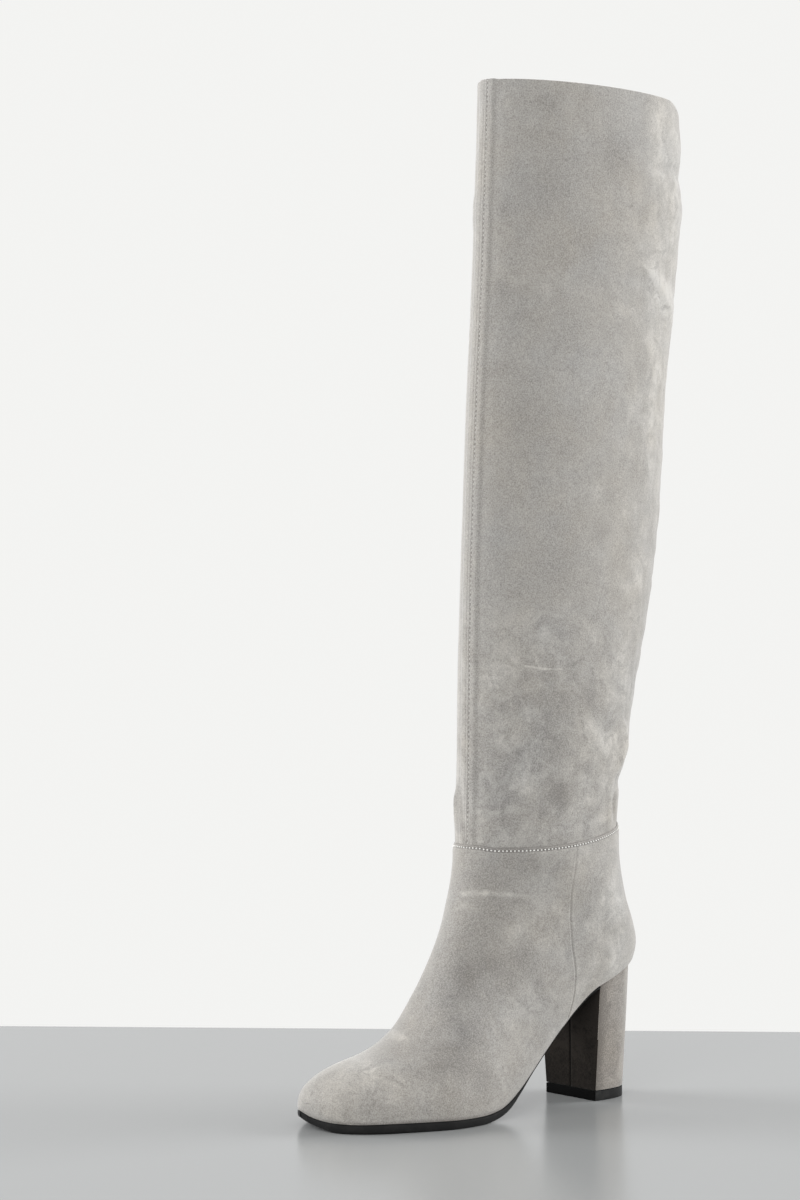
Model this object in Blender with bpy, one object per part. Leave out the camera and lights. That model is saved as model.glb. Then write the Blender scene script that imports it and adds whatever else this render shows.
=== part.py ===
"""Left over-the-knee boot with a block heel: upper, shaft, insole, outsole, heel and heel cap.

The boot is worked out in its own sizes, in millimetres: forward from the back of the heel to the
toe, side (plus is the outer side of a left foot) and up from the floor. place() turns these into
metres with the toe along -Y, the outer side along +X and the floor at z = 0.
"""

import bpy
import bmesh
import numpy as np

# Driving dimensions, in millimetres
TOE_TIP = 232.4          # inside of the toe, forward of the back of the heel
TOE_ROUND_START = 200.0  # where the toe begins to close
TOE_POLE_UP = 16.0       # height of the foremost point
TOE_ROUND = {"up": 2.2, "outer": 2.9, "inner": 2.3}  # 2 closes as an ellipse, more is blunter
TOE_TURN = 0.45          # how far the toe's spring is turned towards the inner side
TOE_TURN_FROM = (150.0, 215.0)  # forward places between which that turn begins
TOE_MIDDLE = -15.0       # side place of the middle of the toe
UPPER_WALL = 1.4
SHAFT_WALL = 1.5
GAP = 0.3                # clearance between pieces that touch
LAP = 8.0                # how far the shaft runs down inside the upper
SEAM_UP = 157.9          # top edge of the upper at the front of the ankle
SEAM_RISE = 11.0         # how much higher that edge runs at the back
SEAM_RISE_START = 115.0  # forward place where the rise begins
SEAM_RISE_POWER = 2.0    # how late the rise comes
SEAM_PEAK = 1.4          # how much higher the edge runs at the very front
SEAM_PEAK_FROM = (119.0, 127.0)
SEAM_BACK = 13.0         # forward place of the back of the ankle
COLLAR_DIP = 9.0         # how far the collar's edge sinks at the back
COLLAR_DIP_FROM = (-10.0, -44.0)  # forward places between which it sinks
COLLAR_DIP_UP = (540.0, 610.0)   # heights between which the leg follows it
BAND_SHARE = 0.022       # half width of the raised front seam, as a share of half the girth
BAND_RAISE = 0.6         # height of its step
BAND_FADE = (118.0, 148.0)  # heights between which the raised seam grows out of the vamp
INSOLE_THICK = 2.2
INSOLE_INSET = 0.5
SOLE_EDGE = 0.9          # how far the outsole stands out from the upper round the forefoot
WAIST_EDGE = -1.1        # and how far it lies in under the arch
WAIST = (96.0, 126.0)    # forward places between which the edge runs from one to the other
TOE_EDGE = 0.1           # how far it stands out at the tip of the toe
TOE_EDGE_FROM = (205.0, 228.0)  # forward places between which it runs in to that
HEEL_BREAST = (41.2, 42.0)     # forward place of the breast at the floor and at the seat
HEEL_BACK = (8.0, 3.0)         # forward place of the back of the heel
HEEL_HALF_WIDTH = (22.0, 27.6)
HEEL_ROUNDNESS = (3.0, 2.4)
HEEL_LEVELS = (0.0, 0.3, 0.65, 1.0)  # shares of the heel's height that get a ring
CAP_THICK = 6.0
SHIFT_FORWARD = 95.59    # puts the middle of the whole boot on the origin
SHIFT_SIDE = -1.95
PLAN_MIDDLE = (95.0, -2.0)  # a place inside the sole's plan that sees its whole edge

# One row for each section of the leg and foot, from the toe to the collar. A section lies in the
# plane through its crown (on the vamp or the shin) and its base (under the sole or on the back).
SECTION_COLUMNS = ("crown_forward", "crown_up", "base_forward", "base_up", "outer", "inner",
                   "ridge", "widest", "crown_round", "base_round")
SECTIONS = (
    (232.4, 28.5, 232.4, -3.5, 13.0, -38.5, -15.5, 0.62, 2.2, 3.0),
    (216.0, 32.0, 216.0, -5.0, 19.0, -40.0, -13.5, 0.64, 2.2, 3.0),
    (200.0, 36.0, 200.0, -5.0, 26.0, -41.0, -10.5, 0.66, 2.2, 3.0),
    (185.0, 40.5, 183.0, -6.0, 32.5, -41.8, -8.0, 0.68, 2.15, 3.0),
    (172.0, 47.0, 166.0, -6.5, 37.5, -42.0, -6.5, 0.69, 2.1, 3.0),
    (161.0, 57.6, 148.0, -6.5, 38.0, -41.0, -5.0, 0.70, 2.05, 3.0),
    (152.6, 74.0, 128.0, -5.0, 35.4, -37.5, -3.5, 0.70, 2.0, 3.0),
    (145.6, 90.0, 106.0, 4.0, 31.8, -32.4, -2.5, 0.68, 2.0, 2.8),
    (140.5, 103.0, 84.0, 21.5, 30.2, -29.6, -1.5, 0.64, 2.0, 2.6),
    (136.0, 114.0, 62.0, 41.0, 30.8, -30.0, -1.0, 0.58, 2.0, 2.5),
    (132.6, 125.0, 40.0, 55.0, 32.0, -31.6, -0.5, 0.52, 2.0, 2.5),
    (130.0, 135.0, 22.0, 62.0, 33.2, -33.2, 0.0, 0.50, 2.0, 2.5),
    (128.2, 143.0, 9.5, 70.0, 34.3, -34.3, 0.0, 0.49, 2.0, 2.4),
    (127.2, 149.0, 1.8, 80.5, 35.0, -35.0, 0.0, 0.48, 2.0, 2.3),
    (126.6, 153.5, -0.6, 90.0, 36.0, -36.0, 0.0, 0.48, 2.0, 2.3),
    (126.2, 158.0, 2.8, 103.0, 36.7, -36.7, 0.0, 0.48, 2.0, 2.3),
    (125.9, 163.0, 8.3, 116.0, 37.1, -37.1, 0.0, 0.48, 2.0, 2.3),
    (125.7, 168.0, 12.0, 130.0, 37.3, -37.3, 0.0, 0.48, 2.0, 2.25),
    (125.5, 174.0, 14.4, 146.0, 37.4, -37.4, 0.0, 0.48, 2.0, 2.2),
    (125.3, 182.0, 14.8, 163.0, 37.5, -37.5, 0.0, 0.49, 2.0, 2.2),
    (125.1, 192.0, 13.0, 181.0, 38.0, -38.0, 0.0, 0.50, 1.95, 2.15),
    (125.0, 206.0, 8.7, 202.0, 39.0, -39.0, 0.0, 0.50, 1.9, 2.1),
    (124.6, 248.0, -2.0, 248.0, 40.5, -40.5, 0.0, 0.50, 1.9, 2.0),
    (123.6, 306.0, -16.5, 306.0, 40.0, -40.0, 0.0, 0.50, 1.9, 2.0),
    (121.6, 364.0, -25.5, 364.0, 39.5, -39.5, 0.0, 0.50, 1.9, 2.0),
    (118.9, 422.0, -29.5, 422.0, 40.0, -40.0, 0.0, 0.50, 1.9, 2.0),
    (115.5, 480.0, -36.5, 480.0, 40.0, -40.0, 0.0, 0.50, 1.9, 2.0),
    (113.0, 531.0, -42.5, 531.0, 40.0, -40.0, 0.0, 0.50, 1.9, 2.0),
    (109.9, 613.5, -42.0, 607.5, 40.0, -40.0, 0.0, 0.50, 1.9, 2.0),
)
TOE_STEPS = 7            # sections over the rounded toe
SECTION_STEP = 9.0       # spacing of the sections over the foot and ankle
SHAFT_STEP = 36.0        # spacing up the straight part of the shaft
SHAFT_ROW = 21           # row of SECTIONS where the straight part begins
UPPER_ROWS_ABOVE = 24.0  # the upper's sections run this far above its top edge before it is cut
SHAFT_ROWS_BELOW = 2     # sections the shaft begins below its lower edge before it is cut
INSOLE_STATIONS = 52
INSOLE_END = 0.09        # angle that the first and last station keep from the ends of the insole
SOLE_STATIONS = 34       # from the breast of the heel to the start of the toe
SOLE_TOE_STATIONS = 12   # round the toe
SOLE_TOE_START = 0.75    # shares of the outsole's length where the toe's stations start and end
SOLE_TOE_END = 0.998
ACROSS = (0.25, 0.5, 0.75)  # shares of a sheet's width that get a point above and below

# Rings of the outsole's rounded edge, top to bottom: share of its overhang, share of its thickness
SOLE_EDGE_RINGS = ((0.5, 0.0), (1.0, 0.25), (1.0, 0.75), (0.2, 1.0))

# Columns round a section, as shares of half its girth from the crown to the base. The close pair
# makes the step of the raised front seam.
BAND_STEP = 0.0025
SIDE_COLUMNS = 19
SIDE_REACH = (0.085, 0.965)  # shares of the first and the last of these
HALF_COLUMNS = np.concatenate(((0.0, BAND_SHARE / 2, BAND_SHARE - BAND_STEP, BAND_SHARE + BAND_STEP),
                               np.linspace(*SIDE_REACH, SIDE_COLUMNS)))

# Height of the line where the upper meets the sole; straight over the heel seat
FEATHER = ((-8.0, 88.75), (12.0, 81.75), (30.0, 75.45), (42.0, 71.25), (46.0, 69.85), (50.0, 67.2),
           (54.0, 64.1), (58.5, 60.3), (65.0, 54.7), (75.0, 45.6), (86.0, 35.7), (99.0, 23.9),
           (108.0, 16.7), (117.0, 11.0), (125.0, 7.7), (137.0, 5.5), (150.0, 5.0), (170.0, 5.4),
           (190.0, 5.6), (205.0, 5.5), (215.0, 5.6), (220.0, 5.75), (224.0, 5.95), (228.0, 6.5),
           (232.0, 7.6), (235.0, 9.1), (242.0, 14.4))

# Height of the underside of the outsole: thin under the arch, flat at the ball, sprung at the toe
UNDERSIDE = ((43.0, 68.7), (46.0, 67.6), (50.0, 65.0), (54.0, 61.9), (58.5, 58.2), (65.0, 52.6),
             (75.0, 43.6), (86.0, 33.7), (99.0, 21.6), (108.0, 13.6), (117.0, 7.0), (125.0, 3.4),
             (137.0, 0.8), (146.0, 0.0), (160.0, 0.0), (180.0, 0.0), (200.0, 0.0), (212.0, 0.0),
             (217.0, 0.0), (221.0, 0.3), (225.0, 1.2), (228.0, 2.1), (232.0, 3.5), (235.0, 5.2),
             (236.5, 6.6), (242.0, 12.0))

# Colours, linear
SUEDE = (0.36, 0.35, 0.35)
BLACK = (0.012, 0.012, 0.013)
LINING = (0.42, 0.38, 0.33)


def place(point):
    """Forward, side and up in millimetres to Blender's metres."""
    forward, side, up = point
    return ((side - SHIFT_SIDE) / 1000, (SHIFT_FORWARD - forward) / 1000, up / 1000)


def curve(x, knots_x, knots_y):
    """A smooth curve through the knots, with slopes from each knot's neighbours."""
    xs = np.asarray(knots_x, float)
    ys = np.asarray(knots_y, float)
    steps = np.diff(xs)
    slopes = np.diff(ys) / steps
    tangents = np.empty_like(ys)
    tangents[0] = slopes[0]
    tangents[-1] = slopes[-1]
    tangents[1:-1] = (slopes[:-1] * steps[1:] + slopes[1:] * steps[:-1]) / (steps[:-1] + steps[1:])
    x = np.asarray(x, float)
    i = np.clip(np.searchsorted(xs, x) - 1, 0, len(steps) - 1)
    h = steps[i]
    t = (x - xs[i]) / h
    return ((2 * t**3 - 3 * t**2 + 1) * ys[i] + (t**3 - 2 * t**2 + t) * h * tangents[i]
            + (3 * t**2 - 2 * t**3) * ys[i + 1] + (t**3 - t**2) * h * tangents[i + 1])


def smooth(x, low, high):
    t = np.clip((x - low) / (high - low), 0, 1)
    return t * t * (3 - 2 * t)


def toe_line(forward, side):
    """Forward place as the sole's heights count it, which turns inwards at the toe."""
    return forward - TOE_TURN * (side - TOE_MIDDLE) * smooth(forward, *TOE_TURN_FROM)


def feather_up(forward, side):
    return curve(toe_line(forward, side), *zip(*FEATHER))


def underside_up(forward, side):
    return np.maximum(curve(toe_line(forward, side), *zip(*UNDERSIDE)), 0.0)


def sole_up(forward, side, depth):
    """Height in the outsole, at a share of its thickness below its top."""
    return (1 - depth) * (feather_up(forward, side) - GAP) + depth * underside_up(forward, side)


def below_seam(amount):
    """Height of a line that runs an amount below the top edge of the upper."""
    def height(forward, side):
        back = np.maximum((SEAM_RISE_START - forward) / (SEAM_RISE_START - SEAM_BACK), 0)
        peak = SEAM_PEAK * smooth(forward, *SEAM_PEAK_FROM)
        return SEAM_UP + SEAM_RISE * back**SEAM_RISE_POWER + peak - amount
    return height


def section_rows():
    """Every section of the boot, from the toe's pole to the collar, read off the table's curves."""
    table = np.array(SECTIONS)
    middles = (table[:, 0:2] + table[:, 2:4]) / 2
    along = np.concatenate(([0], np.cumsum(np.hypot(*np.diff(middles, axis=0).T))))
    start = np.interp(TOE_TIP - TOE_ROUND_START, TOE_TIP - table[:3, 0], along[:3])
    toe = start * (1 - np.sin(np.linspace(np.pi / 2, 0, TOE_STEPS + 1)))
    straight = along[SHAFT_ROW]
    foot = np.linspace(start, straight, round((straight - start) / SECTION_STEP) + 1)
    leg = np.linspace(straight, along[-1], round((along[-1] - straight) / SHAFT_STEP) + 1)
    stations = np.concatenate((toe, foot[1:], leg[1:]))
    rows = np.column_stack([curve(stations, along, column) for column in table.T])
    return [dict(zip(SECTION_COLUMNS, row)) for row in rows]


def close_toe(row):
    """Draws a section in towards the toe's pole, as the rounded front of the last does."""
    beyond = np.clip((row["crown_forward"] - TOE_ROUND_START) / (TOE_TIP - TOE_ROUND_START), 0, 1)
    size = {name: (1 - beyond**power) ** (1 / power) for name, power in TOE_ROUND.items()}
    for name in ("crown_up", "base_up"):
        row[name] = TOE_POLE_UP + (row[name] - TOE_POLE_UP) * size["up"]
    for name in ("outer", "inner"):
        row[name] = row["ridge"] + (row[name] - row["ridge"]) * size[name]


def half_section(row, edge, count=160):
    """Half a section from crown to base, spaced by its length, on the side whose width is edge."""
    angle = np.linspace(0, np.pi, count)
    towards_crown = angle <= np.pi / 2
    power = np.where(towards_crown, 2 / row["crown_round"], 2 / row["base_round"])
    down = np.sign(np.cos(angle)) * np.abs(np.cos(angle)) ** power
    out = np.abs(np.sin(angle)) ** power
    reach = np.where(towards_crown, row["widest"], 1 - row["widest"])
    share = row["widest"] - down * reach
    crown = np.array((row["crown_forward"], row["crown_up"]))
    base = np.array((row["base_forward"], row["base_up"]))
    middle = crown + share[:, None] * (base - crown)
    side = row["ridge"] + out * (edge - row["ridge"])
    points = np.column_stack((middle[:, 0], side, middle[:, 1]))
    length = np.concatenate(([0], np.cumsum(np.linalg.norm(np.diff(points, axis=0), axis=1))))
    return points, length / max(length[-1], 1e-9)


def section_points(row):
    """A closed section: down the outer side from the crown to the base, then up the inner side."""
    outer, outer_length = half_section(row, row["outer"])
    inner, inner_length = half_section(row, row["inner"])
    down = [np.interp(np.append(HALF_COLUMNS, 1.0), outer_length, axis) for axis in outer.T]
    up = [np.interp(HALF_COLUMNS[:0:-1], inner_length, axis) for axis in inner.T]
    return np.column_stack([np.concatenate(pair) for pair in zip(down, up)])


def surface_normals(grid):
    """Outward directions over a grid of sections; the first row is the toe's pole."""
    along = np.gradient(grid, axis=0)
    around = np.roll(grid, -1, axis=1) - np.roll(grid, 1, axis=1)
    normals = np.cross(around, along)
    normals /= np.maximum(np.linalg.norm(normals, axis=2, keepdims=True), 1e-9)
    normals[0] = (1.0, 0.0, 0.0)
    return normals


def boot_form():
    """The face that upper and shaft share, as a grid of sections, and its outward directions."""
    rows = section_rows()
    for row in rows:
        close_toe(row)
    grid = np.array([section_points(row) for row in rows])
    normals = surface_normals(grid)
    shares = np.concatenate((HALF_COLUMNS, (1.0,), HALF_COLUMNS[:0:-1]))
    raised = BAND_RAISE * smooth(grid[:, :, 2], *BAND_FADE) * (shares < BAND_SHARE)
    form = grid + normals * raised[:, :, None]
    sunk = smooth(form[:, :, 0], *COLLAR_DIP_FROM) * smooth(form[:, :, 2], *COLLAR_DIP_UP)
    form[:, :, 2] -= COLLAR_DIP * sunk
    return form, normals


def ring_faces(first, second):
    """Quads between two closed rings of vertices."""
    count = len(first)
    for j in range(count):
        k = (j + 1) % count
        yield (first[j], first[k], second[k], second[j])


def add_rings(bm, grid):
    return [[bm.verts.new(point) for point in ring] for ring in grid]


def add_wall(bm, grid, pole):
    """One face of a wall: a tube of rings, closed by a fan where it starts at a pole."""
    rings = add_rings(bm, grid[1:] if pole else grid)
    if pole:
        tip = bm.verts.new(grid[0, 0])
        for j in range(len(rings[0])):
            bm.faces.new((tip, rings[0][j], rings[0][(j + 1) % len(rings[0])]))
    for first, second in zip(rings, rings[1:]):
        for quad in ring_faces(first, second):
            bm.faces.new(quad)
    return rings


def wall_mesh(outside, inside, pole):
    """A closed wall between two grids, with a rim at each open end."""
    bm = bmesh.new()
    outer = add_wall(bm, outside, pole)
    inner = add_wall(bm, inside, pole)
    ends = (-1,) if pole else (0, -1)
    for end in ends:
        for quad in ring_faces(outer[end], inner[end]):
            bm.faces.new(quad)
    return bm


def trim(bm, height, keep_above):
    """Cuts a wall along the surface up = height(forward, side) and closes the cut with a rim."""
    for vert in bm.verts:
        vert.co.z -= float(height(vert.co.x, vert.co.y))
    everything = bm.verts[:] + bm.edges[:] + bm.faces[:]
    bmesh.ops.bisect_plane(bm, geom=everything, dist=1e-5, plane_co=(0, 0, 0), plane_no=(0, 0, 1),
                           clear_inner=keep_above, clear_outer=not keep_above)
    open_edges = [edge for edge in bm.edges if edge.is_boundary]
    bmesh.ops.triangle_fill(bm, use_beauty=True, edges=open_edges, normal=(0, 0, 1))
    for vert in bm.verts:
        vert.co.z += float(height(vert.co.x, vert.co.y))


def outline(grid, raise_by=0.0):
    """Plan of a form where it crosses the feather line, as (forward, side) round the boot."""
    bm = bmesh.new()
    add_wall(bm, grid, pole=True)
    for vert in bm.verts:
        vert.co.z -= float(feather_up(vert.co.x, vert.co.y)) + raise_by
    everything = bm.verts[:] + bm.edges[:] + bm.faces[:]
    cut = bmesh.ops.bisect_plane(bm, geom=everything, dist=1e-5, plane_co=(0, 0, 0),
                                 plane_no=(0, 0, 1))["geom_cut"]
    points = np.array([vert.co[:2] for vert in cut if isinstance(vert, bmesh.types.BMVert)])
    bm.free()
    spoke = points - PLAN_MIDDLE
    return points[np.argsort(np.arctan2(spoke[:, 1], spoke[:, 0]))]


def widened(points, amount):
    """A closed plan outline moved outwards by an amount."""
    edge = np.roll(points, -1, axis=0) - np.roll(points, 1, axis=0)
    normal = np.column_stack((edge[:, 1], -edge[:, 0]))
    return points + amount * normal / np.linalg.norm(normal, axis=1, keepdims=True)


def sole_outline(points, edge_share):
    """The outsole's plan: proud of the upper at the forefoot and tucked in at the waist."""
    forward = points[:, 0]
    edge = WAIST_EDGE + (SOLE_EDGE - WAIST_EDGE) * smooth(forward, *WAIST)
    edge -= (SOLE_EDGE - TOE_EDGE) * smooth(forward, *TOE_EDGE_FROM)
    inset = (1 - edge_share) * SOLE_EDGE
    return widened(points, (edge - inset)[:, None])


def sides_at(points, forward):
    """Inner and outer side of a closed plan outline at a forward place."""
    ahead = np.roll(points, -1, axis=0)
    crossing = (points[:, 0] - forward) * (ahead[:, 0] - forward) <= 0
    start = points[crossing]
    step = ahead[crossing] - start
    share = (forward - start[:, 0]) / np.where(np.abs(step[:, 0]) < 1e-9, 1e-9, step[:, 0])
    side = start[:, 1] + np.clip(share, 0, 1) * step[:, 1]
    return side.min(), side.max()


def loft(rings):
    """A closed solid through rings of points, with flat ends."""
    bm = bmesh.new()
    rings = add_rings(bm, rings)
    for first, second in zip(rings, rings[1:]):
        for quad in ring_faces(first, second):
            bm.faces.new(quad)
    bm.faces.new(rings[0])
    bm.faces.new(rings[-1])
    return bm


def across(height, start, end):
    """Points between two sides of a sheet, at its height."""
    forward = start[0]
    sides = np.interp(ACROSS, (0, 1), (start[1], end[1]))
    return [(forward, side, float(height(forward, side))) for side in sides]


def slab(levels, shares, first_forward=None):
    """A sheet between plan outlines. Each level is (outline, height function), top level first.

    Stations run from first_forward, or the rear end of each outline, to its front end.
    """
    rings = []
    for share in shares:
        inner_side = []
        outer_side = []
        for points, height in levels:
            rear = points[:, 0].min() if first_forward is None else first_forward
            forward = rear + share * (points[:, 0].max() - rear)
            inner, outer = sides_at(points, forward)
            inner_side.append((forward, inner, float(height(forward, inner))))
            outer_side.append((forward, outer, float(height(forward, outer))))
        top = across(levels[0][1], inner_side[0], outer_side[0])
        low = across(levels[-1][1], outer_side[-1], inner_side[-1])
        rings.append(top + outer_side + low + inner_side[::-1])
    return loft(rings)


def heel_ring(share, height, count=14):
    """The heel's plan at a share of its height: a straight breast and a rounded back."""
    breast, back, half, roundness = (
        np.interp(share, (0, 1), ends)
        for ends in (HEEL_BREAST, HEEL_BACK, HEEL_HALF_WIDTH, HEEL_ROUNDNESS))
    angle = np.linspace(0, np.pi, 2 * count + 1)
    reach = np.abs(np.sin(angle)) ** (2 / roundness)
    side = np.sign(np.cos(angle)) * np.abs(np.cos(angle)) ** (2 / roundness)
    forward = breast - (breast - back) * reach
    return [(f, half * s, float(height(f, half * s))) for f, s in zip(forward, side)]


def finish(name, bm, color, roughness, sharp_angle=0.6):
    """Places a mesh, turns its faces outwards and makes the named object with its material."""
    for vert in bm.verts:
        vert.co = place(vert.co)
    bmesh.ops.recalc_face_normals(bm, faces=bm.faces[:])
    mesh = bpy.data.meshes.new(name)
    bm.to_mesh(mesh)
    bm.free()
    mesh.shade_smooth()
    mesh.set_sharp_from_angle(angle=sharp_angle)
    material = bpy.data.materials.new(name)
    material.use_nodes = True
    shader = material.node_tree.nodes["Principled BSDF"]
    shader.inputs["Base Color"].default_value = (*color, 1.0)
    shader.inputs["Roughness"].default_value = roughness
    shader.inputs["Metallic"].default_value = 0.0
    mesh.materials.append(material)
    bpy.context.scene.collection.objects.link(bpy.data.objects.new(name, mesh))


for old in list(bpy.data.objects):
    bpy.data.objects.remove(old, do_unlink=True)

form, outward = boot_form()
upper_inside = form + outward * GAP
upper_outside = form + outward * (GAP + UPPER_WALL)

# Upper: a wall over the foot, cut level at the ankle and along the feather line
top_row = int(np.argmax(form[:, :, 2].min(axis=1) > SEAM_UP + UPPER_ROWS_ABOVE)) + 1
upper = wall_mesh(upper_outside[:top_row], upper_inside[:top_row], pole=True)
trim(upper, below_seam(0.0), keep_above=False)
trim(upper, feather_up, keep_above=True)
finish("upper", upper, SUEDE, 0.95)

# Shaft: a tube from inside the ankle of the upper to the collar
low_row = int(np.argmax(form[:, :, 2].max(axis=1) > SEAM_UP - LAP)) - SHAFT_ROWS_BELOW
shaft = wall_mesh(form[low_row:], (form - outward * SHAFT_WALL)[low_row:], pole=False)
trim(shaft, below_seam(LAP), keep_above=True)
finish("shaft", shaft, SUEDE, 0.95)

# Insole: a thin sheet inside the upper, on the outsole and the heel seat
insole_low = widened(outline(upper_inside[:top_row]), -INSOLE_INSET)
insole_top = widened(outline(upper_inside[:top_row], INSOLE_THICK), -INSOLE_INSET)
insole_shares = (1 - np.cos(np.linspace(INSOLE_END, np.pi - INSOLE_END, INSOLE_STATIONS))) / 2
insole = slab(((insole_top, lambda f, side: feather_up(f, side) + INSOLE_THICK), (insole_low, feather_up)),
              insole_shares)
finish("insole", insole, LINING, 0.8)

# Outsole: from the breast of the heel to the toe, with a small rounded edge
plan = outline(upper_outside[:top_row])
toe_turn = np.sin(np.linspace(0, np.pi / 2, SOLE_TOE_STATIONS))
toe_shares = SOLE_TOE_START + (SOLE_TOE_END - SOLE_TOE_START) * toe_turn
sole_shares = np.concatenate((np.linspace(0, SOLE_TOE_START, SOLE_STATIONS), toe_shares[1:]))
sole_levels = [(sole_outline(plan, overhang), lambda f, side, depth=depth: sole_up(f, side, depth))
               for overhang, depth in SOLE_EDGE_RINGS]
outsole = slab(sole_levels, sole_shares, HEEL_BREAST[1] + 2 * GAP)
finish("outsole", outsole, BLACK, 0.35)

# Heel: a tapering block from its cap to the seat
heel_low = CAP_THICK + GAP
heel_rings = [heel_ring(share, lambda f, side, share=share:
                        heel_low + share * (feather_up(f, side) - GAP - heel_low))
              for share in HEEL_LEVELS]
finish("heel", loft(heel_rings), SUEDE, 0.95)

# Heel cap: the top piece that meets the floor
cap_rings = [heel_ring(0.0, lambda f, side, up=up: up) for up in (0.0, CAP_THICK)]
finish("heel_cap", loft(cap_rings), BLACK, 0.4)
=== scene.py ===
import math

import bmesh
import bpy
import mathutils
import numpy as np
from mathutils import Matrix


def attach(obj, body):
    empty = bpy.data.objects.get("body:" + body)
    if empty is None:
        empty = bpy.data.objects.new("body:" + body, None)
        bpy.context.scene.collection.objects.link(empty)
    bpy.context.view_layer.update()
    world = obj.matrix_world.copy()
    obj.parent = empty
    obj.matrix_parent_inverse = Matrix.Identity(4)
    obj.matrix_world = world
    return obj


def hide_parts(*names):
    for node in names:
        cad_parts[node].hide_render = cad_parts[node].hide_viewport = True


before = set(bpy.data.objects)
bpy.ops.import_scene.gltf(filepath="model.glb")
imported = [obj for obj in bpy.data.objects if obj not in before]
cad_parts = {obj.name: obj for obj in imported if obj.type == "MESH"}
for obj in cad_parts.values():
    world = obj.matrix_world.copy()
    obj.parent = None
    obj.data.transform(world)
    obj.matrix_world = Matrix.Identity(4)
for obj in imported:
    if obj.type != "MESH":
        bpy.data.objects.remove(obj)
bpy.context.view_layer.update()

# The studio: a plain pale table top that ends a little behind the boot, in a white surround, under
# broad soft lights. The camera stands level before the boot's outer side, a third of a metre up.
CAMERA_AT = np.array((1.477, -1.319, 0.345))
CAMERA_TURN = math.radians(50.0)
CAMERA_LENS = 99.0
CAMERA_SHIFT = -69 / 1200     # as a share of the picture's height
TABLE_REACH = (-4.0, 2.286)   # nearest and farthest depth of the table, from the camera
TABLE_SKEW = -0.05            # how much nearer its back edge comes, to the right
TABLE_HALF_WIDTH = 5.0
TABLE_COLOUR = (0.40, 0.41, 0.41, 1.0)
TABLE_ROUGHNESS = 0.22
SURROUND_SEEN = (0.90, 0.90, 0.885, 1.0)
SURROUND_LEVEL = (0.78, 0.78, 0.78, 1.0)
SURROUND_ABOVE = (0.36, 0.36, 0.36, 1.0)
AIM = np.array((0.0, 0.0, 0.30))

depth_axis = np.array((-math.sin(CAMERA_TURN), math.cos(CAMERA_TURN), 0.0))
right_axis = np.array((math.cos(CAMERA_TURN), math.sin(CAMERA_TURN), 0.0))


class Finish:
    """A node tree in the making. node() adds any node and gives one of its outputs."""

    def __init__(self, tree, shader=None):
        self.tree = tree
        self.shader = tree.nodes[shader] if shader else None

    def node(self, kind, settings=None, inputs=None, output=0):
        made = self.tree.nodes.new(kind)
        for name, value in (settings or {}).items():
            setattr(made, name, value)
        self.feed(made, inputs or {})
        return Level(self, made.outputs[output]) if made.outputs else None

    def feed(self, node, inputs):
        for name, value in inputs.items():
            if isinstance(value, Level):
                self.tree.links.new(value.socket, node.inputs[name])
            else:
                node.inputs[name].default_value = value

    def mix(self, share, first, second, blend="MIX"):
        return self.node("ShaderNodeMix", {"data_type": "RGBA", "blend_type": blend},
                         {0: share, 6: first, 7: second}, output=2)


class Level:
    """A value that varies over a surface. Sums and products of these add Math nodes."""

    def __init__(self, finish, socket):
        self.finish = finish
        self.socket = socket

    def also(self, output):
        """Another output of the same node."""
        return Level(self.finish, self.socket.node.outputs[output])

    def math(self, operation, first, second):
        return self.finish.node("ShaderNodeMath", {"operation": operation}, {0: first, 1: second})

    def __add__(self, other):
        return self.math("ADD", self, other)

    __radd__ = __add__

    def __sub__(self, other):
        return self.math("SUBTRACT", self, other)

    def __rsub__(self, other):
        return self.math("SUBTRACT", other, self)

    def __mul__(self, other):
        return self.math("MULTIPLY", self, other)

    __rmul__ = __mul__

    def __truediv__(self, other):
        return self.math("DIVIDE", self, other)

    def clipped(self):
        return self.math("MINIMUM", self.math("MAXIMUM", self, 0.0), 1.0)


def new_finish(name):
    material = bpy.data.materials.new(name)
    material.use_nodes = True
    return material, Finish(material.node_tree, "Principled BSDF")


def show(name, data):
    """Puts a mesh, a light or the camera in the scene."""
    made = bpy.data.objects.new(name, data)
    bpy.context.scene.collection.objects.link(made)
    return made


table_top, table_finish = new_finish("table_top")
table_finish.feed(table_finish.shader, {"Base Color": TABLE_COLOUR, "Roughness": TABLE_ROUGHNESS})
table_mesh = bpy.data.meshes.new("table")
table_corners = []
near, far = TABLE_REACH
for depth, across in ((near, -1), (near, 1), (far, 1), (far, -1)):
    side = across * TABLE_HALF_WIDTH
    corner = CAMERA_AT + depth_axis * (depth + TABLE_SKEW * side) + right_axis * side
    table_corners.append((corner[0], corner[1], 0.0))
table_mesh.from_pydata(table_corners, [], [(0, 1, 2, 3)])
table_mesh.materials.append(table_top)
table = show("table", table_mesh)

camera_data = bpy.data.cameras.new("camera")
camera_data.lens = CAMERA_LENS
camera_data.shift_y = CAMERA_SHIFT
camera = show("camera", camera_data)
camera.location = CAMERA_AT
camera.rotation_euler = (math.pi / 2, 0.0, CAMERA_TURN)
bpy.context.scene.camera = camera
bpy.context.scene.view_settings.view_transform = "Standard"

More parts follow.
